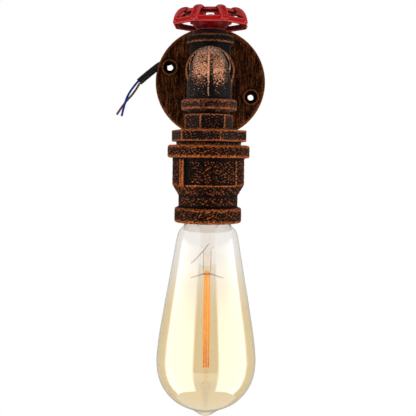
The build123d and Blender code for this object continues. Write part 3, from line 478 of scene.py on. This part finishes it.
# A shape turned about an upright axis from (radius, height) points in mm; radiusAt may vary it round the axis
def turned(name, line, centre, sides=96, radiusAt=None):
    bm = bmesh.new()
    rings = []
    for radius, height in line:
        ring = []
        for k in range(1 if radius < 1e-6 else sides):
            angle = math.tau * k / sides
            reach = radiusAt(radius, angle) if radiusAt else radius
            ring.append(bm.verts.new(((centre[0] + reach * math.cos(angle)) * mm,
                                      (centre[1] + reach * math.sin(angle)) * mm, height * mm)))
        rings.append(ring)
    for lower, upper in zip(rings, rings[1:]):
        for k in range(sides):
            corners = [lower[k % len(lower)], lower[(k + 1) % len(lower)],
                       upper[(k + 1) % len(upper)], upper[k % len(upper)]]
            unique = list(dict.fromkeys(corners))
            if len(unique) > 2:
                bm.faces.new(unique)
    if line[0] == line[-1]:
        bmesh.ops.remove_doubles(bm, verts=bm.verts, dist=1e-7)
    bmesh.ops.recalc_face_normals(bm, faces=bm.faces)
    for face in bm.faces:
        face.smooth = True
    mesh = bpy.data.meshes.new(name)
    bm.to_mesh(mesh)
    bm.free()
    return showPiece(name, mesh)


def smoothLine(points, steps=8):
    ends = [points[0], *points, points[-1]]
    line = []
    for a, b, c, d in zip(ends, ends[1:], ends[2:], ends[3:]):
        for k in range(steps):
            t = k / steps
            line.append(tuple(
                0.5 * (2 * b[i] + (c[i] - a[i]) * t + (2 * a[i] - 5 * b[i] + 4 * c[i] - d[i]) * t * t
                       + (3 * b[i] - a[i] - 3 * c[i] + d[i]) * t ** 3) for i in range(2)))
    return [*line, points[-1]]


reliefGain = 0.007  # brings the bend of a sharp edge to about 1


def meshArrays(mesh):
    count = len(mesh.vertices)
    place, normal = np.zeros(count * 3), np.zeros(count * 3)
    mesh.vertices.foreach_get("co", place)
    mesh.vertices.foreach_get("normal", normal)
    return place.reshape(-1, 3), normal.reshape(-1, 3)


# Low waves in a casting's skin, along its normals: a few crossed sines of unequal length
def waves(place, normal, height):
    x, y, z = place.T
    broad = np.sin(x * 1.9 + 2.1 * np.sin(z * 0.7)) * np.sin(z * 2.3 + 1.7 * np.sin(x * 0.6))
    fine = 0.7 * np.sin(y * 3.1 + x * 1.3) * np.sin(z * 3.7 - y * 0.9)
    return normal * height * (broad + fine)[:, None]


# Castings: remeshed so that corners round off as in a sand mould, given a little waviness, and two
# point attributes for the finish: relief is high on ridges; the second says where the copper brush went and
# also carries painted shade, beside the socket's rib and on the wheel where little light reaches
def roughCast(seed, name, sizes, brushAndShadeRule, shapeRule=None):
    remesh = seed.modifiers.new("mould", "REMESH")
    remesh.mode = "VOXEL"
    remesh.voxel_size = sizes["voxel"] * mm
    remesh.use_smooth_shade = True
    soften = seed.modifiers.new("soften", "SMOOTH")
    soften.factor = 0.5
    soften.iterations = sizes["soften"]
    piece = settle(seed, name)
    mesh = piece.data
    place, normal = meshArrays(mesh)
    shift = waves(place / mm, normal, sizes["waves"])
    if shapeRule:
        shift = shift + shapeRule(place / mm, normal)
    mesh.vertices.foreach_set("co", (place + shift * mm).ravel())
    mesh.update()
    place, normal = meshArrays(mesh)
    count = len(place)
    ends = np.zeros(len(mesh.edges) * 2, int)
    mesh.edges.foreach_get("vertices", ends)
    first, second = ends.reshape(-1, 2).T
    links = np.maximum(np.bincount(first, minlength=count) + np.bincount(second, minlength=count), 1)

    def around(values):
        return (np.bincount(first, values[second], count) + np.bincount(second, values[first], count)) / links

    flat = np.stack([around(place[:, axis]) for axis in range(3)], 1)
    relief = -np.einsum("ij,ij->i", flat - place, normal) / (sizes["voxel"] * mm) ** 2 * reliefGain
    for _ in range(sizes["spread"]):
        relief = 0.5 * relief + 0.5 * around(relief)
    for label, values in (("relief", relief), ("brushAndShade", brushAndShadeRule(place / mm, normal))):
        layer = mesh.attributes.new(label, "FLOAT", "POINT")
        layer.data.foreach_set("value", np.clip(values, -1.0, 1.0).astype(np.float32))
    return piece


def nodeCopy(node):
    bm = bmesh.new()
    bm.from_mesh(cadNodes[node].data)
    bmesh.ops.remove_doubles(bm, verts=bm.verts, dist=2e-6)
    mesh = bpy.data.meshes.new("copy")
    bm.to_mesh(mesh)
    bm.free()
    return showPiece("copy", mesh)


# Wall flange: brushed face, copper rings round black countersinks
flangeSizes = {
    "voxel": 0.6, "soften": 1, "spread": 3, "waves": 0.03, "holes": ((-34.1, 12.1), (34.1, -12.1)),
    "sinkR": 5.2, "ringR": 6.2, "ringHalf": 0.6, "rimR": 45.0, "onFace": 0.10, "onRing": 0.25, "onRim": 0.25,
}


def flangeBrush(place, normal):
    share = flangeSizes["onFace"] * (normal[:, 1] < -0.8)
    for x, z in flangeSizes["holes"]:
        away = np.hypot(place[:, 0] - x, place[:, 2] - z)
        share = np.where(away < flangeSizes["sinkR"], -1.0, share)
        onRing = np.abs(away - flangeSizes["ringR"]) < flangeSizes["ringHalf"]
        share = share + flangeSizes["onRing"] * onRing
    return share + flangeSizes["onRim"] * (np.hypot(place[:, 0], place[:, 2]) > flangeSizes["rimR"])


flange = roughCast(nodeCopy("wall_flange"), "flangeCasting", flangeSizes, flangeBrush)
finishPiece(flange, "cast_flange", "fixture", "fittings", "wall_flange")
print("flange is cast")

# Tee: dark, with more copper only on its front mouth
teeSizes = {"voxel": 0.5, "soften": 2, "spread": 4, "waves": 0.05, "mouthFrom": 22.0, "onBody": -0.12,
            "onMouth": 0.18}


def teeBrush(place, normal):
    return teeSizes["onBody"] + teeSizes["onMouth"] * (place[:, 1] < -teeDepth - teeSizes["mouthFrom"])


tee = roughCast(nodeCopy("pipe_tee"), "teeCasting", teeSizes, teeBrush)
finishPiece(tee, "cast_tee", "fixture", "fittings", "pipe_tee")

# Elbow: the copper brush caught its dome, and a casting seam runs down its outer side
elbowSizes = {
    "voxel": 0.44, "soften": 2, "spread": 4, "waves": 0.06,
    "bend": 17.0, "slim": 0.20, "slimFrom": 122.6, "slimBlend": 1.6,
    "seamHeight": 0.26, "seamWidth": 0.85, "seamShift": -0.6, "seamEnd": -26.0, "seamReach": 30.0,
    "lineHalf": 0.5, "bareShare": -0.22,
    "domeShare": 0.46, "domeEnd": -19.0, "domeReach": 30.0, "domeFade": 9.0, "domeHalf": 12.6,
    "sideFade": 4.0,  # copper on the dome
    "grooveShare": 0.30, "grooveShift": 1.4, "grooveWide": 1.2, "grooveTop": 4.0,
    "grooveFade": 8.0,  # dark line beside the seam
    "beadShare": 0.02, "beadTop": -25.0, "beadEdge": -26.6, "beadSide": 2.0,  # lower mouth
}


# The arm towards the wall is slimmer than the arm down, and grows into it round the bend
def elbowSkin(place, normal):
    x, y, z = place.T
    depth, bend = -y, elbowSizes["bend"]
    forward, upward = depth - stackDepth + bend, z + bend
    turn = np.where(upward <= 0, math.pi / 2, np.arctan2(np.maximum(forward, 0), np.maximum(upward, 0.001)))
    axisDepth = np.where(turn > 0, stackDepth - bend + bend * np.sin(turn), depth)
    axisHeight = np.where(upward <= 0, z, bend * np.cos(turn) - bend)
    pastBead = np.clip((depth - elbowSizes["slimFrom"]) / elbowSizes["slimBlend"], 0, 1)
    slim = elbowSizes["slim"] * (1 - turn / (math.pi / 2)) * pastBead
    inward = -slim[:, None] * np.stack([x, axisDepth - depth, z - axisHeight], 1)
    seamRun = (z > elbowSizes["seamEnd"]) & (depth > stackDepth - elbowSizes["seamReach"])
    outside = ((normal[:, 1] < -0.1) | (normal[:, 2] > 0.3)) & seamRun
    across = (x - elbowSizes["seamShift"]) / elbowSizes["seamWidth"]
    ridge = elbowSizes["seamHeight"] * np.clip(1 - across ** 2, 0, 1) * outside
    return inward + normal * ridge[:, None]


def elbowBrush(place, normal):
    x, y, z = place.T
    sizes = elbowSizes
    facing = np.clip(0.9 - normal[:, 1] * 0.6 - np.abs(normal[:, 2] - 0.25) * 0.5, 0, 1.2)
    fade = np.clip((z - sizes["domeEnd"]) / sizes["domeFade"], 0, 1)
    fade = fade * np.clip((-y - stackDepth + sizes["domeReach"]) / sizes["domeFade"], 0, 1)
    sides = np.clip((sizes["domeHalf"] - np.abs(x)) / sizes["sideFade"], 0, 1)
    groove = np.exp(-((x - sizes["grooveShift"]) / sizes["grooveWide"]) ** 2)
    groove = groove * np.clip((sizes["grooveTop"] - z) / sizes["grooveFade"], 0, 1)
    share = facing * fade * sides * sizes["domeShare"] - sizes["grooveShare"] * groove + sizes["bareShare"]
    onSeam = (np.abs(x - sizes["seamShift"]) < sizes["lineHalf"]) & (normal[:, 1] < -0.1)
    share = np.where(onSeam, np.maximum(share, share * 0.5), share)  # a dark seam is only half as dark
    bead = (z > sizes["beadEdge"]) & (z < sizes["beadTop"]) & (x < sizes["beadSide"])
    return np.where((z < sizes["beadEdge"]) | bead, sizes["beadShare"], share)


elbow = roughCast(nodeCopy("pipe_elbow"), "elbowCasting", elbowSizes, elbowBrush, elbowSkin)
finishPiece(elbow, "cast_elbow", "fixture", "fittings", "pipe_elbow")
print("tee and elbow are cast")

# Hex nipple and hex bushing
hexSizes = {"voxel": 0.45, "soften": 1, "spread": 3, "waves": 0.05, "share": -0.02}


def hexBrush(place, normal):
    return np.full(len(place), hexSizes["share"])


for node, name in (("hex_nipple", "nippleCasting"), ("hex_bushing", "bushingCasting")):
    piece = roughCast(nodeCopy(node), name, hexSizes, hexBrush)
    finishPiece(piece, "cast_hex", "fixture", "fittings", node)

# Reducing socket: a shallow sunk panel lies between the rib that the lens sees and the next one
socketSizes = {
    "voxel": 0.48, "soften": 2, "spread": 4, "waves": 0.09, "ribAngle": 225.0, "panelStart": 5.5,
    "panelStop": 318.0, "panelR": 21.5, "panelTop": -65.0, "panelLow": -81.0, "panelDepth": 0.55,
    "shadeShare": -0.5, "shadeStart": 5.0, "shadeWide": 16.0, "ribShare": 0.22, "ribHalf": 4.5,
    "ribTop": -64.0, "ribLow": -82.0,
}


def socketPanel(place):
    x, y, z = place.T
    sizes = socketSizes
    fromRib = np.degrees(np.arctan2(y + stackDepth, x)) % 360 - sizes["ribAngle"]
    inPanel = ((fromRib > sizes["panelStart"]) & (fromRib < sizes["panelStop"] - sizes["ribAngle"])
               & (np.hypot(x, y + stackDepth) > sizes["panelR"])
               & (z < sizes["panelTop"]) & (z > sizes["panelLow"]))
    return fromRib, inPanel


def socketSkin(place, normal):
    return -normal * (socketSizes["panelDepth"] * socketPanel(place)[1])[:, None]


# Painted shade in the sunk panel just beside the rib; copper brush along the rib
def socketBrush(place, normal):
    fromRib, inPanel = socketPanel(place)
    z, sizes = place[:, 2], socketSizes
    beside = np.clip(1 - (fromRib - sizes["shadeStart"]) / sizes["shadeWide"], 0, 1)
    onRib = (np.abs(fromRib) < sizes["ribHalf"]) & (z < sizes["ribTop"]) & (z > sizes["ribLow"])
    return np.where(inPanel, sizes["shadeShare"] * beside, 0.0) + sizes["ribShare"] * onRib


socket = roughCast(nodeCopy("reducing_socket"), "socketCasting", socketSizes, socketBrush, socketSkin)
finishPiece(socket, "cast_socket", "fixture", "fittings", "reducing_socket")
print("stack is cast")

# Handwheel: one rib is swept along its arch and repeated, then rim, crown, collar and hub join it
wheelSizes = {
    "ribs": 8, "firstDeg": 20.5, "ribWidth": 6.4, "ribDepth": 3.6, "squareness": 0.8,
    "ribLine": ((28.4, 37.8), (27.2, 42.8), (25.2, 46.2), (22.9, 47.9), (19.9, 48.5), (17.6, 47.4),
                (16.0, 44.0), (14.9, 39.8)),
    "rim": (24.8, 30.0, 36.6, 41.0), "crown": (17.2, 20.6, 46.4, 48.5), "collar": (15.4, 18.0, 44.6, 48.2),
    "hub": ((0, 33.7), (10.5, 33.7), (15.2, 40.0), (15.2, 41.6), (12.2, 41.6), (10.5, 37.6), (6.5, 37.6),
            (6.5, 41.0), (0, 41.0)),
    "voxel": 0.42, "soften": 3, "spread": 2, "waves": 0.0,
    "hubR": 8.0, "hubFade": 7.0, "innerShare": 0.42,
}


def band(name, inner, outer, low, high, radiusAt=None):
    return turned(name, [(inner, low), (outer, low), (outer, high), (inner, high), (inner, low)],
                  (0, -teeDepth), 144, radiusAt)


def eightSided(radius, angle):
    if radius < wheelSizes["rim"][1]:
        return radius
    sector = math.tau / wheelSizes["ribs"]
    within = (angle - math.radians(wheelSizes["firstDeg"])) % sector - sector / 2
    return radius * math.cos(sector / 2) / math.cos(within)


# A bar of rounded section along the arch, in the arch's own plane
def ribMesh(sizes, around=16):
    line = [Vector((radius * mm, 0, height * mm)) for radius, height in smoothLine(list(sizes["ribLine"]), 6)]
    wide, deep = sizes["ribWidth"] / 2 * mm, sizes["ribDepth"] / 2 * mm
    points = []
    for k, here in enumerate(line):
        along = (line[min(k + 1, len(line) - 1)] - line[max(k - 1, 0)]).normalized()
        side = Vector((along.z, 0, -along.x))
        for j in range(around):
            c, s = math.cos(math.tau * j / around), math.sin(math.tau * j / around)
            u = math.copysign(abs(c) ** sizes["squareness"], c) * deep
            v = math.copysign(abs(s) ** sizes["squareness"], s) * wide
            points.append(here + side * u + Vector((0, v, 0)))
    faces = []
    for start in range(0, (len(line) - 1) * around, around):
        for j in range(around):
            after = (j + 1) % around
            faces.append((start + j, start + after, start + around + after, start + around + j))
    faces += [tuple(range(around))[::-1], tuple(range(len(points) - around, len(points)))]
    bm = bmesh.new()
    mesh = bpy.data.meshes.new("rib")
    mesh.from_pydata(points, [], faces)
    bm.from_mesh(mesh)
    bmesh.ops.recalc_face_normals(bm, faces=bm.faces)
    bm.to_mesh(mesh)
    bm.free()
    return mesh


# On the wheel this attribute says how open a place lies to the light, and so places the painted shade
def wheelOpenToLight(place, normal):
    radius = np.hypot(place[:, 0], place[:, 1] + teeDepth)
    lean = place[:, 0] * normal[:, 0] + (place[:, 1] + teeDepth) * normal[:, 1]
    outward = lean / np.maximum(radius, 1) > -0.2
    upward = np.clip(1.0 + normal[:, 2] * 0.75, 0, 1.1)
    pastHub = np.clip((radius - wheelSizes["hubR"]) / wheelSizes["hubFade"], 0, 1)
    return pastHub * upward * np.where(outward, 1.0, wheelSizes["innerShare"])


def makeWheel(sizes):
    ribs = grow("wheelRibs", ringArray, {
        "Count": sizes["ribs"], "First Angle": math.radians(sizes["firstDeg"]),
        "Axis Place": (0.0, -teeDepth * mm, 0.0), "Finish": materials["wheelPaint"]}, ribMesh(sizes))
    parts = [ribs, band("rim", *sizes["rim"], eightSided), band("crown", *sizes["crown"]),
             band("collar", *sizes["collar"]), turned("hub", list(sizes["hub"]), (0, -teeDepth), 72)]
    bm = bmesh.new()
    for part in parts:
        bm.from_mesh(part.data)
        bpy.data.objects.remove(part)
    mesh = bpy.data.meshes.new("wheel")
    bm.to_mesh(mesh)
    bm.free()
    return roughCast(showPiece("wheel", mesh), "wheelCasting", sizes, wheelOpenToLight)


finishPiece(makeWheel(wheelSizes), "wheelPaint", "wheel", "wheel_paint", "handwheel")
print("handwheel is cast")

# Bulb glass: the outer line as blown, and an inner wall a little inside it
glassSizes = {
    "wall": 0.7, "sides": 128, "tipR": 0.6, "tipDrop": 0.05,
    "line": ((12.7, -98.4), (12.7, -103.2), (15.9, -108.0), (19.2, -112.8), (21.6, -125.5), (23.8, -138.4),
             (26.2, -152.0), (28.5, -165.6), (30.6, -178.8), (31.8, -190.0), (32.0, -196.0), (31.2, -203.0),
             (29.1, -209.3), (25.5, -215.0), (20.6, -219.9), (16.2, -222.6), (12.2, -224.5), (9.3, -225.9),
             (7.3, -227.3), (4.9, -229.0), (2.5, -230.2), (0.0, -230.6)),
}


def makeGlass(sizes):
    outer = smoothLine(list(sizes["line"]), 6)
    inner = []
    for before, here, after in zip(outer, outer[1:], outer[2:]):
        run = math.hypot(after[0] - before[0], after[1] - before[1])
        across, down = (after[1] - before[1]) / run, (after[0] - before[0]) / run
        radius = here[0] + sizes["wall"] * across
        if radius > sizes["tipR"]:
            inner.append((radius, here[1] - sizes["wall"] * down))
    inner.append((0.0, inner[-1][1] - sizes["tipDrop"]))
    rim = [(outer[0][0] - sizes["wall"], outer[0][1])]
    return turned("bulbGlass", [*reversed(outer), *rim, *inner], (0, -stackDepth), sizes["sides"])


finishPiece(makeGlass(glassSizes), "amberGlass", "bulb", "amber_glass", "bulb_glass")

# Filaments: four coated strands round the rod
filamentSizes = {"ring": 1.6, "radius": 0.52, "top": -137.2, "bottom": -199.4, "steps": 24, "count": 4,
                 "turnDeg": 2.0}


def makeFilaments(sizes):
    curve = bpy.data.curves.new("strand", "CURVE")
    curve.dimensions = "3D"
    spline = curve.splines.new("POLY")
    steps = sizes["steps"]
    spline.points.add(steps)
    for k, point in enumerate(spline.points):
        height = sizes["bottom"] + k * (sizes["top"] - sizes["bottom"]) / steps
        point.co = (sizes["ring"] * mm, 0, height * mm, 1)
    strand = grow("strand", roundWire, {"Radius": sizes["radius"] * mm, "Sides": 14,
                                        "Finish": materials["filamentCoat"]}, curve)
    mesh = strand.data
    bpy.data.objects.remove(strand)
    return grow("filamentStrands", ringArray, {
        "Count": sizes["count"], "First Angle": math.radians(sizes["turnDeg"]),
        "Axis Place": (0.0, -stackDepth * mm, 0.0), "Finish": materials["filamentCoat"]}, mesh)


finishPiece(makeFilaments(filamentSizes), "filamentCoat", "bulb", "filament", "bulb_filaments")
print("bulb is blown")

# Bulb cap: thin screw shell with its rolled thread
capSizes = {"root": 12.35, "ridge": 0.78, "pitch": 3.6, "turns": 4.6, "low": -100.6, "top": -80.4,
            "skirt": 13.1, "hole": 11.0, "wall": 0.35, "threadStart": 1.6}


def makeCap(sizes):
    low, top, root, skirt, wall = (sizes[key] for key in ("low", "top", "root", "skirt", "wall"))
    line = [(sizes["hole"], top), (root - 0.3, top - 1.0), (root, top - 1.6), (root, low + 1.4),
            (skirt, low + 0.2), (skirt, low - 2.0), (skirt - wall, low - 2.0), (root - wall, low + 1.2),
            (root - wall, top - 1.9), (sizes["hole"] - 0.1, top - 0.4), (sizes["hole"], top)]
    shell = turned("capShell", line, (0, -stackDepth), 72)
    thread = grow("capThread", screwThread, {
        "Radius": root * mm, "Pitch": sizes["pitch"] * mm, "Turns": sizes["turns"],
        "Ridge": sizes["ridge"] * mm, "Finish": materials["capMetal"]})
    thread.data.transform(Matrix.Translation((0, -stackDepth * mm, (low + sizes["threadStart"]) * mm)))
    bm = bmesh.new()
    bm.from_mesh(shell.data)
    bm.from_mesh(thread.data)
    bm.to_mesh(shell.data)
    bm.free()
    bpy.data.objects.remove(thread)
    return shell


finishPiece(makeCap(capSizes), "capMetal", "bulb", "bulb_cap_metal", "bulb_cap")

# Finishes of the CAD nodes that stay as they are
nodeFinishes = {
    "blackIron": ("flange_nipple", "bonnet_plug", "link_nipple"),
    "zincSteel": ("wheel_stem", "stem_circlip", "wheel_washer", "wheel_nut", "tube_locknut", "threaded_tube",
                  "lead_clip", "clip_screw"),
    "phenolic": ("holder_cap", "holder_body"),
    "whiteCeramic": ("contact_block",),
    "plainBrass": ("centre_contact", "screw_shell", "terminal_screws", "bulb_contact"),
    "blackGlass": ("bulb_insulator",),
    "clearGlass": ("bulb_stem",),
    "wireGrey": ("bulb_support", "bulb_tie_wire"),
    "wirePale": ("bulb_feed_wires",),
    "blueRubber": ("holder_wire_blue",),
    "brownRubber": ("holder_wire_brown",),
}
for finish, nodes in nodeFinishes.items():
    for node in nodes:
        for slot in cadNodes[node].material_slots:
            slot.link = "OBJECT"
            slot.material = materials[finish]
print("CAD nodes are finished")

# Room: a pale round floor that fades out, white surround, and light from both sides in front.
# Tall curved cards stand for the tent's lit walls in reflections, with a dark gap in front
roomSetup = {
    "ambient": 0.22, "lampSize": (0.9, 1.8), "lampAim": (0.0, -0.15, -0.14),
    "lamps": ((-0.95, -0.66, -0.30), (0.95, -0.66, -0.30), (0.0, 1.1, 0.1)), "lampStrengths": (2.4, 2.4, 0.9),
    "floorHeight": -0.46, "floorFade": (0.30, 0.62), "floorColour": (0.84, 0.84, 0.82),
    "floorGrey": (0.7, 0.7, 0.7), "floorCloud": (9.0, 2.0, 0.5), "floorCloudShare": 0.05, "floorRough": 0.85,
    "floorGlow": 0.80,
    "cardRadius": 0.85, "cardSpan": (25.0, 112.0), "cardFade": (8.0, 16.0),
    "cardHeights": (-1.3, 0.10), "cardTopFade": (0.10, -0.12), "cardColour": (1.0, 0.99, 0.95),
    "cardGlow": 4.4,
    "gapRadius": 1.25, "gapSpan": 27.0, "gapHeights": (-0.57, 0.12), "gapColour": (0.02, 0.02, 0.02),
    "gapRough": 0.9,
    "backSpan": (106.0, 180.0), "backHeights": (-1.6, 0.5), "backColour": (0.42, 0.42 * 0.93, 0.42 * 0.84),
}


# Seen by the lens, by shiny surfaces and through glass
def seenRays(tree):
    path = addNode(tree, "ShaderNodeLightPath")
    seen = maths(tree, "MAXIMUM", path.outputs["Is Camera Ray"], path.outputs["Is Glossy Ray"])
    return maths(tree, "MAXIMUM", seen, path.outputs["Is Transmission Ray"])


# Upright sheet bent about the bulb's axis, from one bearing to another, measured from straight ahead
def bentSheet(name, radius, fromDeg, toDeg, heights, steps=24):
    points, faces = [], []
    for k in range(steps + 1):
        bearing = math.radians(fromDeg + (toDeg - fromDeg) * k / steps)
        for height in heights:
            points.append((radius * math.sin(bearing), -stackDepth * mm - radius * math.cos(bearing), height))
    rows = len(heights)
    for k in range(steps):
        for j in range(rows - 1):
            here = k * rows + j
            faces.append((here, here + 1, here + rows + 1, here + rows))
    return meshOf(name, points, faces)


def onlyInReflections(card, material):
    card.data.materials.append(material)
    card.visible_camera = False
    card.visible_diffuse = False
    card.visible_shadow = False
    card.visible_transmission = False


def makeSurround(setup):
    world = bpy.context.scene.world or bpy.data.worlds.new("surround")
    bpy.context.scene.world = world
    world.use_nodes = True
    tree = world.node_tree
    tree.nodes.clear()
    level = setup["ambient"]
    colour = blendColours(tree, seenRays(tree), (level, level, level), (1.0, 1.0, 1.0))
    sky = addNode(tree, "ShaderNodeBackground", {"Color": colour, "Strength": 1.0})
    addNode(tree, "ShaderNodeOutputWorld", {0: sky.outputs[0]})


def makeFloor(setup):
    x, y, z = 0.0, -stackDepth * mm, setup["floorHeight"]
    reach, sides = setup["floorFade"][1] * 1.1, 48
    turns = [math.tau * k / sides for k in range(sides)]
    points = [(x + reach * math.cos(turn), y + reach * math.sin(turn), z) for turn in turns]
    floor = meshOf("paleFloor", points, [tuple(range(sides))])
    material, tree, shader, out = freshMaterial("paleFloor")
    cloud = noise(tree, objectPlace(tree), *setup["floorCloud"])
    greyShare = maths(tree, "MULTIPLY", cloud, setup["floorCloudShare"])
    plug(tree, blendColours(tree, greyShare, setup["floorColour"], setup["floorGrey"]),
         shader.inputs["Base Color"])
    shader.inputs["Roughness"].default_value = setup["floorRough"]
    white = addNode(tree, "ShaderNodeEmission", {"Color": (1.0, 1.0, 1.0), "Strength": 1.0})
    share = maths(tree, "MULTIPLY", seenRays(tree), setup["floorGlow"])  # the rest keeps the object's shadow
    lit = addNode(tree, "ShaderNodeMixShader", {0: share, 1: shader.outputs[0], 2: white.outputs[0]})
    place = addNode(tree, "ShaderNodeTexCoord").outputs["Object"]
    offset = addNode(tree, "ShaderNodeVectorMath", {0: place, 1: (x, y, z)}, operation="DISTANCE")
    faded = stepUp(tree, offset.outputs["Value"], *setup["floorFade"])
    clear = addNode(tree, "ShaderNodeBsdfTransparent")
    pick = addNode(tree, "ShaderNodeMixShader", {0: faded, 1: lit.outputs[0], 2: clear.outputs[0]})
    plug(tree, pick.outputs[0], out.inputs[0])
    floor.data.materials.append(material)
    floor.visible_glossy = False


def makeLamps(setup):
    for k, (place, strength) in enumerate(zip(setup["lamps"], setup["lampStrengths"])):
        lamp = bpy.data.lights.new(f"softBox{k}", "AREA")
        lamp.shape = "RECTANGLE"
        lamp.size, lamp.size_y = setup["lampSize"]
        lamp.energy = strength * math.pi * lamp.size * lamp.size_y
        box = showPiece(f"softBox{k}", lamp)
        box.location = place
        box.rotation_euler = (Vector(setup["lampAim"]) - box.location).to_track_quat("-Z", "Y").to_euler()
        box.visible_glossy = False
        box.visible_transmission = False


# Glow of a lit wall: soft at both sides and at its top
def tentGlow(tree, setup):
    start, stop = setup["cardSpan"]
    nearEdge, farEdge = setup["cardFade"]
    place = addNode(tree, "ShaderNodeTexCoord").outputs["Object"]
    where = addNode(tree, "ShaderNodeSeparateXYZ", {0: place})
    aside = maths(tree, "ABSOLUTE", where.outputs[0])
    ahead = maths(tree, "SUBTRACT", -stackDepth * mm, where.outputs[1])
    bearing = maths(tree, "DEGREES", maths(tree, "ARCTAN2", aside, ahead))
    soft = maths(tree, "MULTIPLY", stepUp(tree, bearing, start, start + nearEdge),
                 stepUp(tree, bearing, stop, stop - farEdge))
    below = stepUp(tree, where.outputs[2], *setup["cardTopFade"])
    return maths(tree, "MULTIPLY", maths(tree, "MULTIPLY", below, soft), setup["cardGlow"])


def makeCards(setup):
    for side in (-1, 1):
        near, far = (side * bearing for bearing in setup["cardSpan"])
        card = bentSheet("tentWall", setup["cardRadius"], near, far, setup["cardHeights"])
        material, tree, shader, out = freshMaterial("tentWall")
        clear = addNode(tree, "ShaderNodeBsdfTransparent")
        bright = addNode(tree, "ShaderNodeEmission",
                         {"Color": setup["cardColour"], "Strength": tentGlow(tree, setup)})
        both = addNode(tree, "ShaderNodeAddShader", {0: clear.outputs[0], 1: bright.outputs[0]})
        plug(tree, both.outputs[0], out.inputs[0])
        onlyInReflections(card, material)
        near, far = (side * bearing for bearing in setup["backSpan"])
        back = bentSheet("tentBack", setup["gapRadius"], near, far, setup["backHeights"])
        material, tree, shader, out = freshMaterial("tentBack")
        dim = addNode(tree, "ShaderNodeEmission", {"Color": setup["backColour"], "Strength": 1.0})
        plug(tree, dim.outputs[0], out.inputs[0])
        onlyInReflections(back, material)
    gap = bentSheet("darkGap", setup["gapRadius"], -setup["gapSpan"], setup["gapSpan"], setup["gapHeights"])
    material, tree, shader, out = freshMaterial("darkGap")
    plug(tree, setup["gapColour"], shader.inputs["Base Color"])
    shader.inputs["Roughness"].default_value = setup["gapRough"]
    onlyInReflections(gap, material)


makeSurround(roomSetup)
makeFloor(roomSetup)
makeLamps(roomSetup)
makeCards(roomSetup)
print("room is lit")
